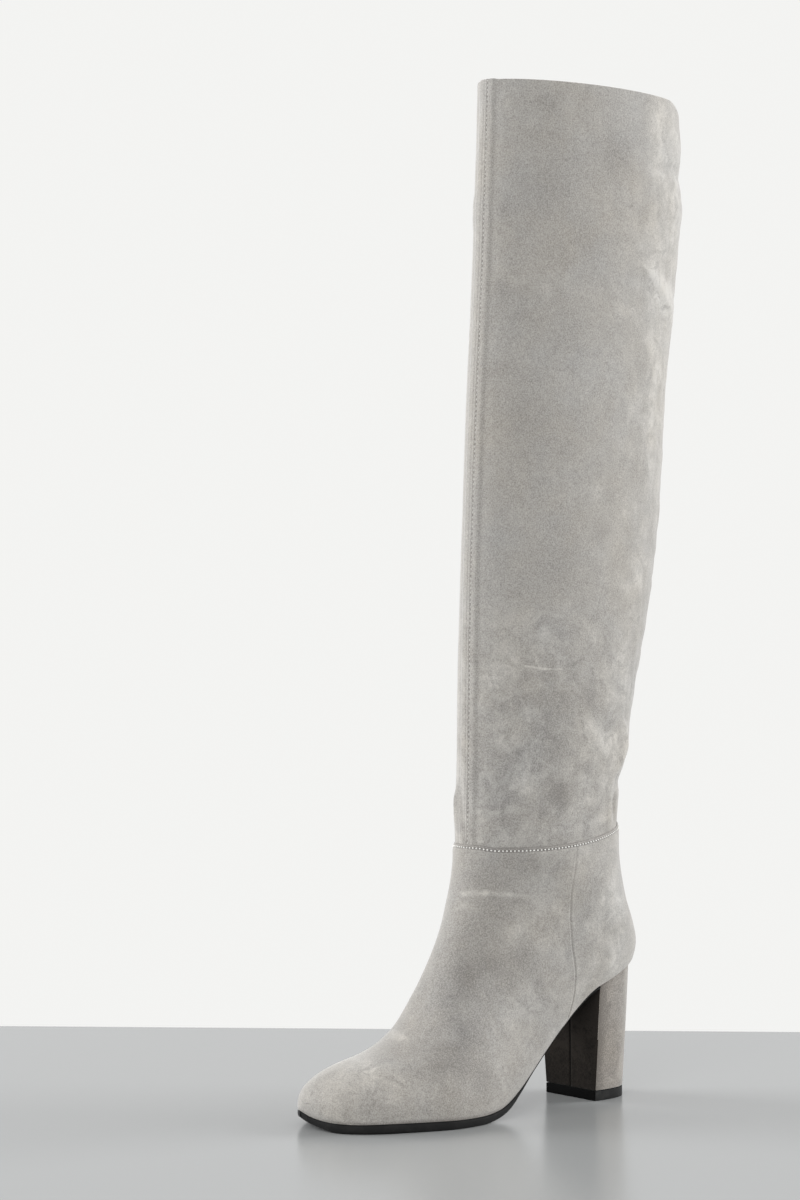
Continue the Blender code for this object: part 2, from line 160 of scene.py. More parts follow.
surround = bpy.data.worlds.new("surround")
surround.use_nodes = True
bpy.context.scene.world = surround
surround_finish = Finish(surround.node_tree, "Background")
heading = surround_finish.node("ShaderNodeTexCoord", output="Object")
above = surround_finish.node("ShaderNodeSeparateXYZ", None, {"Vector": heading}, output="Z").clipped()
seen = surround_finish.node("ShaderNodeLightPath", output="Is Camera Ray")
room = surround_finish.mix(above, SURROUND_LEVEL, SURROUND_ABOVE)
surround_colour = surround_finish.mix(seen, room, SURROUND_SEEN)
surround_finish.feed(surround_finish.shader, {"Color": surround_colour, "Strength": 1.0})

# One row for each soft light: across, depth and height from the aim, size and power
LIGHTS = {"front": (-1.0, -3.8, 1.0, 3.2, 82.0), "left": (-3.2, 0.8, 1.0, 2.0, 108.0),
          "right": (3.2, 0.8, 1.0, 2.0, 108.0)}
for name, (across, depth, height, size, power) in LIGHTS.items():
    light = bpy.data.lights.new(name, "AREA")
    light.shape = "SQUARE"
    light.size = size
    light.energy = power
    offset = right_axis * across + depth_axis * depth + np.array((0.0, 0.0, height))
    lamp = show(name, light)
    lamp.location = AIM + offset
    lamp.rotation_euler = mathutils.Vector(-offset).to_track_quat("-Z", "Y").to_euler()
    lamp.visible_camera = False
    lamp.visible_glossy = False

# The upper: the foot part, of grey split suede, cut as a vamp and a back part that are closed
# together by a plain seam down each side. It is lasted over the insole, and its turned top edge
# laps over the shaft. Its sizes are in millimetres: forward from the heel, side (outwards) and up.
TOE_TIP = 232.4               # inside of the toe, forward of the back of the heel
TOE_ROUND_START = 200.0       # where the toe begins to close
TOE_POLE_UP = 16.0            # height of the foremost point
TOE_ROUND = {"up": 2.2, "outer": 2.9, "inner": 2.3}   # 2 closes as an ellipse, more is blunter
TOE_TURN = 0.45               # how far the toe's spring is turned towards the inner side
TOE_TURN_FROM = (150.0, 215.0)
TOE_MIDDLE = -15.0
UPPER_WALL = 1.4
UPPER_LEATHER = 1.2
GAP = 0.3                     # clearance between pieces that touch
SEAM_UP = 157.9               # top edge of the upper at the front of the ankle
SEAM_RISE = 11.0              # how much higher that edge runs at the back
SEAM_RISE_START = 115.0
SEAM_RISE_POWER = 2.0
SEAM_BACK = 13.0
SEAM_PEAK = 1.4               # how much higher it runs at the very front
SEAM_PEAK_FROM = (119.0, 127.0)
SHIFT_FORWARD = 95.59         # puts the middle of the whole boot on the origin
SHIFT_SIDE = -1.95

# One row for each section, from the toe to the collar, in the plane through its crown and its base
SECTION_COLUMNS = ("crown_forward", "crown_up", "base_forward", "base_up", "outer", "inner",
                   "ridge", "widest", "crown_round", "base_round")
SECTIONS = (
    (232.4, 28.5, 232.4, -3.5, 13.0, -38.5, -15.5, 0.62, 2.2, 3.0),
    (216.0, 32.0, 216.0, -5.0, 19.0, -40.0, -13.5, 0.64, 2.2, 3.0),
    (200.0, 36.0, 200.0, -5.0, 26.0, -41.0, -10.5, 0.66, 2.2, 3.0),
    (185.0, 40.5, 183.0, -6.0, 32.5, -41.8, -8.0, 0.68, 2.15, 3.0),
    (172.0, 47.0, 166.0, -6.5, 37.5, -42.0, -6.5, 0.69, 2.1, 3.0),
    (161.0, 57.6, 148.0, -6.5, 38.0, -41.0, -5.0, 0.70, 2.05, 3.0),
    (152.6, 74.0, 128.0, -5.0, 35.4, -37.5, -3.5, 0.70, 2.0, 3.0),
    (145.6, 90.0, 106.0, 4.0, 31.8, -32.4, -2.5, 0.68, 2.0, 2.8),
    (140.5, 103.0, 84.0, 21.5, 30.2, -29.6, -1.5, 0.64, 2.0, 2.6),
    (136.0, 114.0, 62.0, 41.0, 30.8, -30.0, -1.0, 0.58, 2.0, 2.5),
    (132.6, 125.0, 40.0, 55.0, 32.0, -31.6, -0.5, 0.52, 2.0, 2.5),
    (130.0, 135.0, 22.0, 62.0, 33.2, -33.2, 0.0, 0.50, 2.0, 2.5),
    (128.2, 143.0, 9.5, 70.0, 34.3, -34.3, 0.0, 0.49, 2.0, 2.4),
    (127.2, 149.0, 1.8, 80.5, 35.0, -35.0, 0.0, 0.48, 2.0, 2.3),
    (126.6, 153.5, -0.6, 90.0, 36.0, -36.0, 0.0, 0.48, 2.0, 2.3),
    (126.2, 158.0, 2.8, 103.0, 36.7, -36.7, 0.0, 0.48, 2.0, 2.3),
    (125.9, 163.0, 8.3, 116.0, 37.1, -37.1, 0.0, 0.48, 2.0, 2.3),
    (125.7, 168.0, 12.0, 130.0, 37.3, -37.3, 0.0, 0.48, 2.0, 2.25),
    (125.5, 174.0, 14.4, 146.0, 37.4, -37.4, 0.0, 0.48, 2.0, 2.2),
    (125.3, 182.0, 14.8, 163.0, 37.5, -37.5, 0.0, 0.49, 2.0, 2.2),
    (125.1, 192.0, 13.0, 181.0, 38.0, -38.0, 0.0, 0.50, 1.95, 2.15),
    (125.0, 206.0, 8.7, 202.0, 39.0, -39.0, 0.0, 0.50, 1.9, 2.1),
    (124.6, 248.0, -2.0, 248.0, 40.5, -40.5, 0.0, 0.50, 1.9, 2.0),
    (123.6, 306.0, -16.5, 306.0, 40.0, -40.0, 0.0, 0.50, 1.9, 2.0),
    (121.6, 364.0, -25.5, 364.0, 39.5, -39.5, 0.0, 0.50, 1.9, 2.0),
    (118.9, 422.0, -29.5, 422.0, 40.0, -40.0, 0.0, 0.50, 1.9, 2.0),
    (115.5, 480.0, -36.5, 480.0, 40.0, -40.0, 0.0, 0.50, 1.9, 2.0),
    (113.0, 531.0, -42.5, 531.0, 40.0, -40.0, 0.0, 0.50, 1.9, 2.0),
    (109.9, 613.5, -42.0, 607.5, 40.0, -40.0, 0.0, 0.50, 1.9, 2.0),
)
ANKLE_ROW = 21          # row of SECTIONS where the straight part of the leg begins
TOE_STEPS = 26          # sections over the rounded toe
FOOT_STEP = 2.2         # spacing of the sections over the foot and the ankle
UPPER_ROWS_ABOVE = 24.0
UPPER_COLUMNS = 84       # columns down each side of the upper, apart from those at its seam
SEAM_COLUMNS = np.arange(-2.8, 2.81, 0.35)   # distances from the side seam that get a column
SEAM_CROWD_FROM = (20.0, 110.0)              # distances from the toe between which they gather

# Height of the line where the upper meets the sole; straight over the heel seat
FEATHER = ((-8.0, 88.75), (12.0, 81.75), (30.0, 75.45), (42.0, 71.25), (46.0, 69.85), (50.0, 67.2),
           (54.0, 64.1), (58.5, 60.3), (65.0, 54.7), (75.0, 45.6), (86.0, 35.7), (99.0, 23.9),
           (108.0, 16.7), (117.0, 11.0), (125.0, 7.7), (137.0, 5.5), (150.0, 5.0), (170.0, 5.4),
           (190.0, 5.6), (205.0, 5.5), (215.0, 5.6), (220.0, 5.75), (224.0, 5.95), (228.0, 6.5),
           (232.0, 7.6), (235.0, 9.1), (242.0, 14.4))


def place(points):
    """Forward, side and up in millimetres to metres, with the toe along -Y."""
    forward, side, up = np.asarray(points, float).T
    return np.column_stack((side - SHIFT_SIDE, SHIFT_FORWARD - forward, up)) / 1000


def curve(x, knots_x, knots_y):
    """A smooth curve through the knots, with slopes from each knot's neighbours."""
    xs = np.asarray(knots_x, float)
    ys = np.asarray(knots_y, float)
    steps = np.diff(xs)
    slopes = np.diff(ys) / steps
    tangents = np.empty_like(ys)
    tangents[0] = slopes[0]
    tangents[-1] = slopes[-1]
    tangents[1:-1] = (slopes[:-1] * steps[1:] + slopes[1:] * steps[:-1]) / (steps[:-1] + steps[1:])
    x = np.asarray(x, float)
    i = np.clip(np.searchsorted(xs, x) - 1, 0, len(steps) - 1)
    h = steps[i]
    t = (x - xs[i]) / h
    return ((2 * t**3 - 3 * t**2 + 1) * ys[i] + (t**3 - 2 * t**2 + t) * h * tangents[i]
            + (3 * t**2 - 2 * t**3) * ys[i + 1] + (t**3 - t**2) * h * tangents[i + 1])


def smooth(x, low, high):
    t = np.clip((x - low) / (high - low), 0, 1)
    return t * t * (3 - 2 * t)


def toe_line(forward, side):
    """Forward place as the sole's heights count it, which turns inwards at the toe."""
    return forward - TOE_TURN * (side - TOE_MIDDLE) * smooth(forward, *TOE_TURN_FROM)


def feather_up(forward, side):
    return curve(toe_line(forward, side), *zip(*FEATHER))


def seam_up(forward):
    back = np.maximum((SEAM_RISE_START - forward) / (SEAM_RISE_START - SEAM_BACK), 0)
    return SEAM_UP + SEAM_RISE * back**SEAM_RISE_POWER + SEAM_PEAK * smooth(forward, *SEAM_PEAK_FROM)


def below_seam(amount):
    return lambda forward, side: seam_up(forward) - amount


def above_feather(amount):
    return lambda forward, side: feather_up(forward, side) + amount


def half_section(row, edge, shares, count=240):
    """Half a section from crown to base at shares of its length, on the side whose width is edge."""
    angle = np.linspace(0, np.pi, count)
    towards_crown = angle <= np.pi / 2
    power = np.where(towards_crown, 2 / row["crown_round"], 2 / row["base_round"])
    down = np.sign(np.cos(angle)) * np.abs(np.cos(angle)) ** power
    out = np.abs(np.sin(angle)) ** power
    share = row["widest"] - down * np.where(towards_crown, row["widest"], 1 - row["widest"])
    crown = np.array((row["crown_forward"], row["crown_up"]))
    base = np.array((row["base_forward"], row["base_up"]))
    middle = crown + share[:, None] * (base - crown)
    points = np.column_stack((middle[:, 0], row["ridge"] + out * (edge - row["ridge"]), middle[:, 1]))
    length = np.concatenate(([0], np.cumsum(np.linalg.norm(np.diff(points, axis=0), axis=1))))
    length /= max(length[-1], 1e-9)
    return np.column_stack([np.interp(shares, length, axis) for axis in points.T])


def section_points(row, shares):
    """A closed section, drawn in towards the toe's pole: down the outer side, up the inner side."""
    beyond = np.clip((row["crown_forward"] - TOE_ROUND_START) / (TOE_TIP - TOE_ROUND_START), 0, 1)
    size = {name: (1 - beyond**power) ** (1 / power) for name, power in TOE_ROUND.items()}
    for name in ("crown_up", "base_up"):
        row[name] = TOE_POLE_UP + (row[name] - TOE_POLE_UP) * size["up"]
    for name in ("outer", "inner"):
        row[name] = row["ridge"] + (row[name] - row["ridge"]) * size[name]
    outer = half_section(row, row["outer"], np.append(shares, 1.0))
    inner = half_section(row, row["inner"], shares[:0:-1])
    return np.concatenate((outer, inner))


section_table = np.array(SECTIONS)
section_middle = (section_table[:, 0:2] + section_table[:, 2:4]) / 2
section_along = np.concatenate(([0], np.cumsum(np.hypot(*np.diff(section_middle, axis=0).T))))
toe_start = np.interp(TOE_TIP - TOE_ROUND_START, TOE_TIP - section_table[:3, 0], section_along[:3])
toe_stations = toe_start * (1 - np.sin(np.linspace(np.pi / 2, 0, TOE_STEPS + 1)))
foot_steps = round((section_along[ANKLE_ROW] - toe_start) / FOOT_STEP) + 1
foot_stations = np.linspace(toe_start, section_along[ANKLE_ROW], foot_steps)


def boot_face(stations, shares):
    """The boot's form as a grid of sections, and its outward directions. Shares may vary by row."""
    rows = np.column_stack([curve(stations, section_along, column) for column in section_table.T])
    shares = np.broadcast_to(shares, (len(rows), np.shape(shares)[-1]))
    grid = np.array([section_points(dict(zip(SECTION_COLUMNS, row)), at)
                     for row, at in zip(rows, shares)])
    along = np.gradient(grid, axis=0)
    around = np.roll(grid, -1, axis=1) - np.roll(grid, 1, axis=1)
    normals = np.cross(around, along)
    normals /= np.maximum(np.linalg.norm(normals, axis=2, keepdims=True), 1e-9)
    if stations[0] == 0:
        normals[0] = (1.0, 0.0, 0.0)
    return grid, normals


def tube(grid, pole):
    """One face through rings of points, closed by a fan where it starts at a pole."""
    bm = bmesh.new()
    rings = [[bm.verts.new(point) for point in ring] for ring in (grid[1:] if pole else grid)]
    count = len(rings[0])
    if pole:
        tip = bm.verts.new(grid[0, 0])
        for j in range(count):
            bm.faces.new((tip, rings[0][j], rings[0][(j + 1) % count]))
    for first, second in zip(rings, rings[1:]):
        for j in range(count):
            k = (j + 1) % count
            bm.faces.new((first[j], first[k], second[k], second[j]))
    return bm


def cut(bm, height, keep=None):
    """Cuts a face along up = height(forward, side); keeps what is "above" it, "below" it or both."""
    for vert in bm.verts:
        vert.co.z -= float(height(vert.co.x, vert.co.y))
    bmesh.ops.bisect_plane(bm, geom=bm.verts[:] + bm.edges[:] + bm.faces[:], dist=1e-4,
                           plane_co=(0, 0, 0), plane_no=(0, 0, 1),
                           clear_inner=keep == "above", clear_outer=keep == "below")
    for vert in bm.verts:
        vert.co.z += float(height(vert.co.x, vert.co.y))


def path_distance(points, path):
    """Distance of each point from a path, and how far along the path its nearest place is."""
    path = np.asarray(path, float)
    steps = np.linalg.norm(np.diff(path, axis=0), axis=1)
    begun = np.concatenate(([0], np.cumsum(steps)))
    best = np.full(len(points), np.inf)
    share = np.zeros(len(points))
    for start, end, step, before in zip(path, path[1:], steps, begun):
        t = np.clip((points - start) @ (end - start) / step**2, 0, 1)
        distance = np.linalg.norm(points - start - t[:, None] * (end - start), axis=1)
        nearer = distance < best
        best[nearer] = distance[nearer]
        share[nearer] = (before + t[nearer] * step) / begun[-1]
    return best, share


CREASE_END = (-0.1, 0.3)      # shares of its length over which a crease fades, at each end
PATCH_WAVE = 9.0              # how broadly and how far a patch's outline wavers
PATCH_SWAY = 6.0
PATCH_SEED = 7                # keeps the wavering the same in every run
mathutils.noise.seed_set(PATCH_SEED)


def hump(x, width):
    return np.exp(-(x / width) ** 2)


def tapered(share, low, high):
    """1 along the middle of a path, fading at both ends."""
    return smooth(share, low, high) * smooth(1 - share, low, high)


def crease_relief(points, creases):
    """Lift of soft ridges and troughs, and their tone: ridges lighter (plus), partly rubbed nap and
    partly painted highlight, troughs darker (minus) as painted shade.
    """
    lift = np.zeros(len(points))
    rub_and_shade = np.zeros(len(points))
    for width, height, tone, path in creases:
        distance, share = path_distance(points, path)
        shape = hump(distance, width) * tapered(share, *CREASE_END)
        lift += height * shape
        rub_and_shade += tone * shape
    return lift, rub_and_shade


def patch_tone(points, patches):
    """Uneven lighter and darker patches of nap: forward, side, up, radius and tone."""
    sway = [mathutils.noise.noise_vector(point / PATCH_WAVE) for point in points]
    points = points + PATCH_SWAY * np.array(sway)
    tone = np.zeros(len(points))
    for forward, side, up, radius, strength in patches:
        tone += strength * hump(np.linalg.norm(points - (forward, side, up), axis=1), radius)
    return tone


SUEDE_DARK = (0.225, 0.214, 0.203, 1.0)
SUEDE_LIGHT = (0.560, 0.542, 0.512, 1.0)
SUEDE_BASE = 0.46             # where plain suede lies between the two
SUEDE_WARM = (1.0, 0.980, 0.945, 1.0)
SUEDE_COOL = (0.985, 0.992, 1.0, 1.0)
# Noises of the nap, from broad to fine: scale, detail, roughness and swirl
SUEDE_HUE = (21.0, 3.0, 0.6)
SUEDE_DRIFT = (34.0, 3.0, 0.6)
SUEDE_SMUDGE = (60.0, 6.0, 0.6, 0.9)
SUEDE_MOTTLE = (170.0, 4.0, 0.6, 0.9)
SUEDE_FLECK = (420.0, 3.0, 0.6)
SUEDE_GRAIN = (1300.0, 2.0, 0.6)
SUEDE_BEND = 0.022            # how far the drift draws smudges, mottle and hue about, in metres
SMUDGE_SHARE = 0.46           # how much each noise counts in the shade
MOTTLE_SHARE = 0.30
FLECK_SHARE = 0.20
GRAIN_SHARE = 1.4
RAGGED_SMUDGE = 0.6           # rubbed places are ragged by so much smudge, and the rest mottle
RAGGED_FROM = 0.40
RAGGED_GAIN = 5.0
TONE_EVEN = 0.45              # how much a tone counts everywhere, and how much where it is ragged
TONE_RAGGED = 1.3
HUE_FROM = 0.3
HUE_GAIN = 2.5
NAP_GRAIN = 0.6               # shares of grain and fleck in the height of the nap
NAP_FLECK = 0.4
NAP_ROUGHNESS = 0.86
NAP_ROUGHER = 0.14


def noise(finish, where, scale, detail, rough=0.5, swirl=0.0, output="Fac"):
    return finish.node("ShaderNodeTexNoise", None,
                       {"Vector": where, "Scale": scale, "Detail": detail, "Roughness": rough,
                        "Distortion": swirl}, output)


def bumped(finish, height, strength, distance):
    return finish.node("ShaderNodeBump", None,
                       {"Height": height, "Strength": strength, "Distance": distance})


def suede(name, streaks=(), dark=SUEDE_DARK, light=SUEDE_LIGHT, base=SUEDE_BASE, bloom=0.9):
    """Split suede: a fine mottled nap with a soft bloom at its edges; its tone makes it lighter where
    it is rubbed and carries painted highlight and shade.
    """
    material, finish = new_finish(name)

    def vectors(operation, inputs, output=0):
        return finish.node("ShaderNodeVectorMath", {"operation": operation}, inputs, output)

    where = finish.node("ShaderNodeTexCoord", output="Object")
    drift = noise(finish, where, *SUEDE_DRIFT, output="Color")
    bent = vectors("MULTIPLY_ADD", {0: drift, 1: (SUEDE_BEND,) * 3, 2: where})
    smudge = noise(finish, bent, *SUEDE_SMUDGE)
    mottle = noise(finish, bent, *SUEDE_MOTTLE)
    fleck = noise(finish, where, *SUEDE_FLECK)
    grain = noise(finish, where, *SUEDE_GRAIN)
    hue = noise(finish, bent, *SUEDE_HUE)
    tone = finish.node("ShaderNodeAttribute", {"attribute_name": "tone"}, output="Fac")
    unrest = 1 + finish.node("ShaderNodeAttribute", {"attribute_name": "unrest"}, output="Fac")
    ragged = RAGGED_SMUDGE * smudge + (1 - RAGGED_SMUDGE) * mottle - RAGGED_FROM
    shade = (base + unrest * (SMUDGE_SHARE * (smudge - 0.5) + MOTTLE_SHARE * (mottle - 0.5))
             + FLECK_SHARE * (fleck - 0.5) + GRAIN_SHARE * (grain - 0.5)
             + tone * (TONE_EVEN + TONE_RAGGED * (ragged * RAGGED_GAIN).clipped()))
    for start, end, radius, strength in streaks:
        start, end = place((start, end))
        span = end - start
        reach = vectors("SUBTRACT", {0: where, 1: start})
        along = vectors("DOT_PRODUCT", {0: reach, 1: span / (span @ span)}, "Value").clipped()
        foot = vectors("SCALE", {0: tuple(span), "Scale": along})
        apart = vectors("DISTANCE", {0: reach, 1: foot}, "Value")
        shade = shade + strength * (1 - apart / (radius / 1000)).clipped()
    plain = finish.mix(shade.clipped(), dark, light)
    cast = finish.mix(((hue - HUE_FROM) * HUE_GAIN).clipped(), SUEDE_COOL, SUEDE_WARM)
    nap = bumped(finish, NAP_GRAIN * grain + NAP_FLECK * fleck, 0.35, 0.0006)
    finish.feed(finish.shader, {"Base Color": finish.mix(1.0, plain, cast, "MULTIPLY"), "Normal": nap,
                                "Roughness": NAP_ROUGHNESS + NAP_ROUGHER * mottle,
                                "Sheen Weight": bloom, "Sheen Roughness": 0.4,
                                "Sheen Tint": (0.9, 0.89, 0.87, 1.0), "Specular IOR Level": 0.15})
    return material


def vertex_values(mesh, label):
    values = np.empty(len(mesh.vertices) * 3)
    mesh.vertices.foreach_get(label, values)
    return values.reshape(-1, 3)


def paint(mesh, tone, unrest):
    """Writes how light and how restless the nap is at each point, for the suede to read."""
    for label, values in (("tone", tone), ("unrest", unrest)):
        values = np.broadcast_to(values, len(mesh.vertices)).astype(np.float32)
        mesh.attributes.new(label, "FLOAT", "POINT").data.foreach_set("value", values)


def dress(name, bm, relief, material, thickness):
    """Makes a leather piece from its outer face: adds its relief and tone, places and thickens it."""
    bmesh.ops.remove_doubles(bm, verts=bm.verts[:], dist=0.02)
    bm.normal_update()
    mesh = bpy.data.meshes.new(name)
    bm.to_mesh(mesh)
    bm.free()
    points = vertex_values(mesh, "co")
    lift, tone, unrest = relief(points)
    points = place(points + vertex_values(mesh, "normal") * lift[:, None])
    mesh.vertices.foreach_set("co", points.ravel())
    paint(mesh, tone, unrest)
    mesh.update()
    piece = show(name, mesh)
    wall = piece.modifiers.new("wall", "SOLIDIFY")
    wall.thickness = thickness / 1000
    wall.offset = -1.0
    finish_piece(piece, material)
    return piece


def finish_piece(piece, material, sharp=0.9):
    """Turns a piece's modifiers into plain mesh and shades it."""
    bpy.context.view_layer.update()
    evaluated = piece.evaluated_get(bpy.context.evaluated_depsgraph_get())
    solid = bpy.data.meshes.new_from_object(evaluated)
    piece.modifiers.clear()
    piece.data = solid
    solid.name = piece.name
    solid.materials.clear()
    solid.materials.append(material)
    solid.shade_smooth()
    solid.set_sharp_from_angle(angle=sharp)


def seat(piece, node):
    """Sets a finished piece on the boot in place of its plain solid."""
    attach(piece, "root")
    if node:
        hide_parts(node)


SIDE_SEAM = ((71.8, 39.1, 158.2), (75.3, 37.5, 129.8), (74.6, 35.8, 111.7), (72.2, 34.9, 96.5),
             (68.4, 33.6, 83.0), (67.1, 31.4, 70.1), (68.0, 28.7, 59.1), (69.0, 27.0, 50.0))
UPPER_EDGE_LOOPS = (0.4, 0.9, 1.4, 1.9, 2.4, 3.0, 4.0)   # distances below the top edge
ANKLE_STITCH_BELOW = 1.9
STITCH_LINE = (0.55, -0.3, -1.0)          # width, height and tone of the line sunk by the stitches; its tone is painted shade
SIDE_SEAM_RIDGE = (0.3, 2.4)              # height and width of the seam's soft ridge
SIDE_SEAM_GROOVE = (-0.55, 0.7)           # and of the groove in it
SIDE_SEAM_LINE = (-0.1, 0.6)              # tone and width of the dark line in the groove
TOP_EDGE_TUCK = (0.8, 5.0)                # how far the top edge is drawn in, over which height
TOP_EDGE_ROLL = (0.3, 0.9)                # and rolled off
# painted shade: a dark line along the upper's rolled top edge, where it steps over the shaft
TOP_EDGE_SHADE = -0.4
TOP_EDGE_SHADE_FADE = (0.2, 0.9)                # distances below the edge where its painted shade fades
UPPER_UNREST = 0.6                        # how much more restless its nap is than plain suede
VAMP_TONE = -0.09
VAMP_FROM = (92.0, 125.0, 178.0, 205.0)   # begins, is full, fades and ends
FRINGE_TONE = -0.35                       # the dark edge along the sole
FRINGE_UP = (0.4, 2.2)                    # heights above the sole where it fades
FRINGE_FROM = (70.0, 110.0)
FRINGE_LOOPS = (0.7, 1.6, 2.6)            # heights above the sole that get a loop
SEAM_PROBES = 400                         # places round half a section where the side seam is sought
SEAM_NEAR = 3.0                           # a section farther from it takes its neighbour's place
SEAM_GIRTH = 100.0                        # least half girth that is reckoned with
SEAM_AHEAD = 0.45                         # share of the columns before the seam
# One row for each crease: width, height, tone and path; the tone is painted highlight on ridges,
# partly rubbed nap, and painted shade in troughs
UPPER_CREASES = (
    (2.2, 0.35, 0.10, ((132.7, 4.3, 130.4), (124.7, 16.6, 131.5), (113.3, 25.1, 130.2))),
    (3.0, 0.9, 0.18, ((167.9, -22.7, 48.5), (172.3, -7.4, 49.0), (172.4, 3.7, 48.0))),
    (5.0, -0.8, -0.05, ((162.8, -24.3, 53.8), (166.5, -1.5, 54.4))),
)
UPPER_PATCHES = (
    (112, 28, 109, 8, 0.19), (84, 35, 105, 3, 0.13), (44, 36, 130, 8, 0.19),
    (31, 33, 120, 5, 0.16), (35, 33, 94, 9, 0.19), (54, 37, 111, 7, 0.16), (54, 33, 80, 7, 0.16),
    (133, 9, 123, 4, 0.14), (118, 30, 65, 13, 0.14), (116, 32, 48, 12, 0.11),
    (125, 35, 25, 7, 0.13), (200, 13, 33, 15, 0.13), (198, 23, 26, 8, 0.08),
    (173, -3, 49, 5, 0.13), (106, 30, 149, 12, -0.08), (140, 17, 85, 10, -0.19),
    (153, 12, 70, 8, -0.16), (126, 24, 90, 6, -0.13), (106, 31, 95, 8, -0.13),
    (97, 33, 78, 8, -0.16), (158, 31, 41, 15, -0.13), (144, 38, 26, 9, -0.14),
    (80, 30, 55, 5, -0.10), (182, 32, 23, 8, 0.06), (34, 32, 84, 6, 0.18), (58, 31, 72, 5, 0.12),
    (57, 38, 130, 7, -0.12), (41, 35, 107, 6, -0.12), (67, 36, 106, 8, -0.08),
    (208, 4, 29, 14, 0.08), (188, 4, 40, 9, -0.12), (214, 8, 20, 8, 0.10),
    (38, 35, 115, 12, 0.16), (32, 33, 99, 10, 0.10), (150, 30, 56, 8, -0.10),
    (170, 31, 34, 8, -0.08), (128, 33, 38, 9, 0.10), (104, 31, 62, 8, 0.10),
    (162, 22, 53, 5, 0.12), (92, 30, 45, 7, -0.14),
)
# The pale streak across the instep, along its first crease: ends of each stretch, its radius and
# strength
INSTEP_STREAK = (((132.7, 4.3, 130.4), (124.7, 16.6, 131.5), 2.6, 0.42),
         ((124.7, 16.6, 131.5), (113.3, 25.1, 130.2), 2.4, 0.34),
         ((113.3, 25.1, 130.2), (102.0, 30.4, 129.0), 2.2, 0.20))


def upper_relief(points):
    lift, tone = crease_relief(points, UPPER_CREASES)
    tone += patch_tone(points, UPPER_PATCHES)
    for sided in (points, points * (1, -1, 1)):
        distance, _ = path_distance(sided, SIDE_SEAM)
        for height, width in (SIDE_SEAM_RIDGE, SIDE_SEAM_GROOVE):
            lift += height * hump(distance, width)
        dark, width = SIDE_SEAM_LINE
        tone += dark * hump(distance, width)
    forward, side, up = points.T
    below = seam_up(forward) - up
    tuck, tuck_height = TOP_EDGE_TUCK
    roll, roll_height = TOP_EDGE_ROLL
    lift -= tuck * (1 - smooth(below, 0.0, tuck_height))
    lift -= roll * np.clip(1 - below / roll_height, 0, 1) ** 2
    # Painted shade in the sunk stitch line and along the rolled top edge
    width, height, dark = STITCH_LINE
    line = hump(below - ANKLE_STITCH_BELOW, width)
    tone += dark * line + TOP_EDGE_SHADE * (1 - smooth(below, *TOP_EDGE_SHADE_FADE))
    fringe = 1 - smooth(up - feather_up(forward, side), *FRINGE_UP)
    tone += FRINGE_TONE * fringe * smooth(forward, *FRINGE_FROM)
    begin, full, fade, end = VAMP_FROM
    tone += VAMP_TONE * smooth(forward, begin, full) * smooth(forward, end, fade)
    return lift + height * line, tone, UPPER_UNREST


def seam_shares(stations):
    """Columns for each section of the upper, crowded round the side seam."""
    even = np.linspace(0.0, 1.0, SEAM_PROBES + 1)[:-1]
    plain = np.linspace(0.0, 1.0, UPPER_COLUMNS + len(SEAM_COLUMNS))[:-1]
    probe, _ = boot_face(stations, even)
    shares = []
    middle = None
    for ring, station in zip(probe[::-1], stations[::-1]):
        half = ring[:SEAM_PROBES]
        girth = np.linalg.norm(np.diff(half, axis=0), axis=1).sum()
        distance, _ = path_distance(half, SIDE_SEAM)
        nearest = int(np.argmin(distance))
        if middle is None or distance[nearest] < SEAM_NEAR:
            middle = even[nearest]
        reach = SEAM_COLUMNS / max(girth, SEAM_GIRTH)
        before = np.linspace(0, middle + reach[0], round(UPPER_COLUMNS * SEAM_AHEAD), endpoint=False)
        after = np.linspace(1.0, middle + reach[-1], UPPER_COLUMNS - len(before),
                            endpoint=False)[::-1]
        crowded = np.concatenate((before, middle + reach, after[:-1]))
        near = smooth(station, *SEAM_CROWD_FROM)
        shares.append(near * crowded + (1 - near) * plain)
    return np.array(shares[::-1])


upper_rows = np.concatenate((toe_stations, foot_stations[1:]))
form, outward = boot_face(upper_rows, seam_shares(upper_rows))
upper_top_row = int(np.argmax(form[:, :, 2].min(axis=1) > SEAM_UP + UPPER_ROWS_ABOVE)) + 1
form = form[:upper_top_row]
outward = outward[:upper_top_row]
upper_skin = form + outward * (GAP + UPPER_WALL)
upper_face = tube(upper_skin, pole=True)
cut(upper_face, below_seam(0.0), keep="below")
cut(upper_face, feather_up, keep="above")
for below in UPPER_EDGE_LOOPS:
    cut(upper_face, below_seam(below))
for above in FRINGE_LOOPS:
    cut(upper_face, above_feather(above))
suede_upper = suede("suede_upper", INSTEP_STREAK)
upper = dress("upper_suede", upper_face, upper_relief, suede_upper, UPPER_LEATHER)
seat(upper, "upper")

# The shaft: the tall leg part, two suede panels joined down the front by a closed seam that is
# pressed flat and stitched down beside it. Its lower edge is sewn inside the upper, and its top
# edge is turned in over the lining.
SHAFT_WALL = 1.5
SHAFT_LEATHER = 0.7
LAP = 8.0                # how far the shaft reaches down inside the upper
LEG_STEP = 2.4           # spacing of the sections up the leg
ROWS_BELOW = 2           # sections kept below the lap, to be cut there
COLLAR_TURN = 7.0        # how far the top edge is turned in
RIM_STEPS = 6            # rings round the top edge, and down its turned-in part
TURN_STEPS = 3
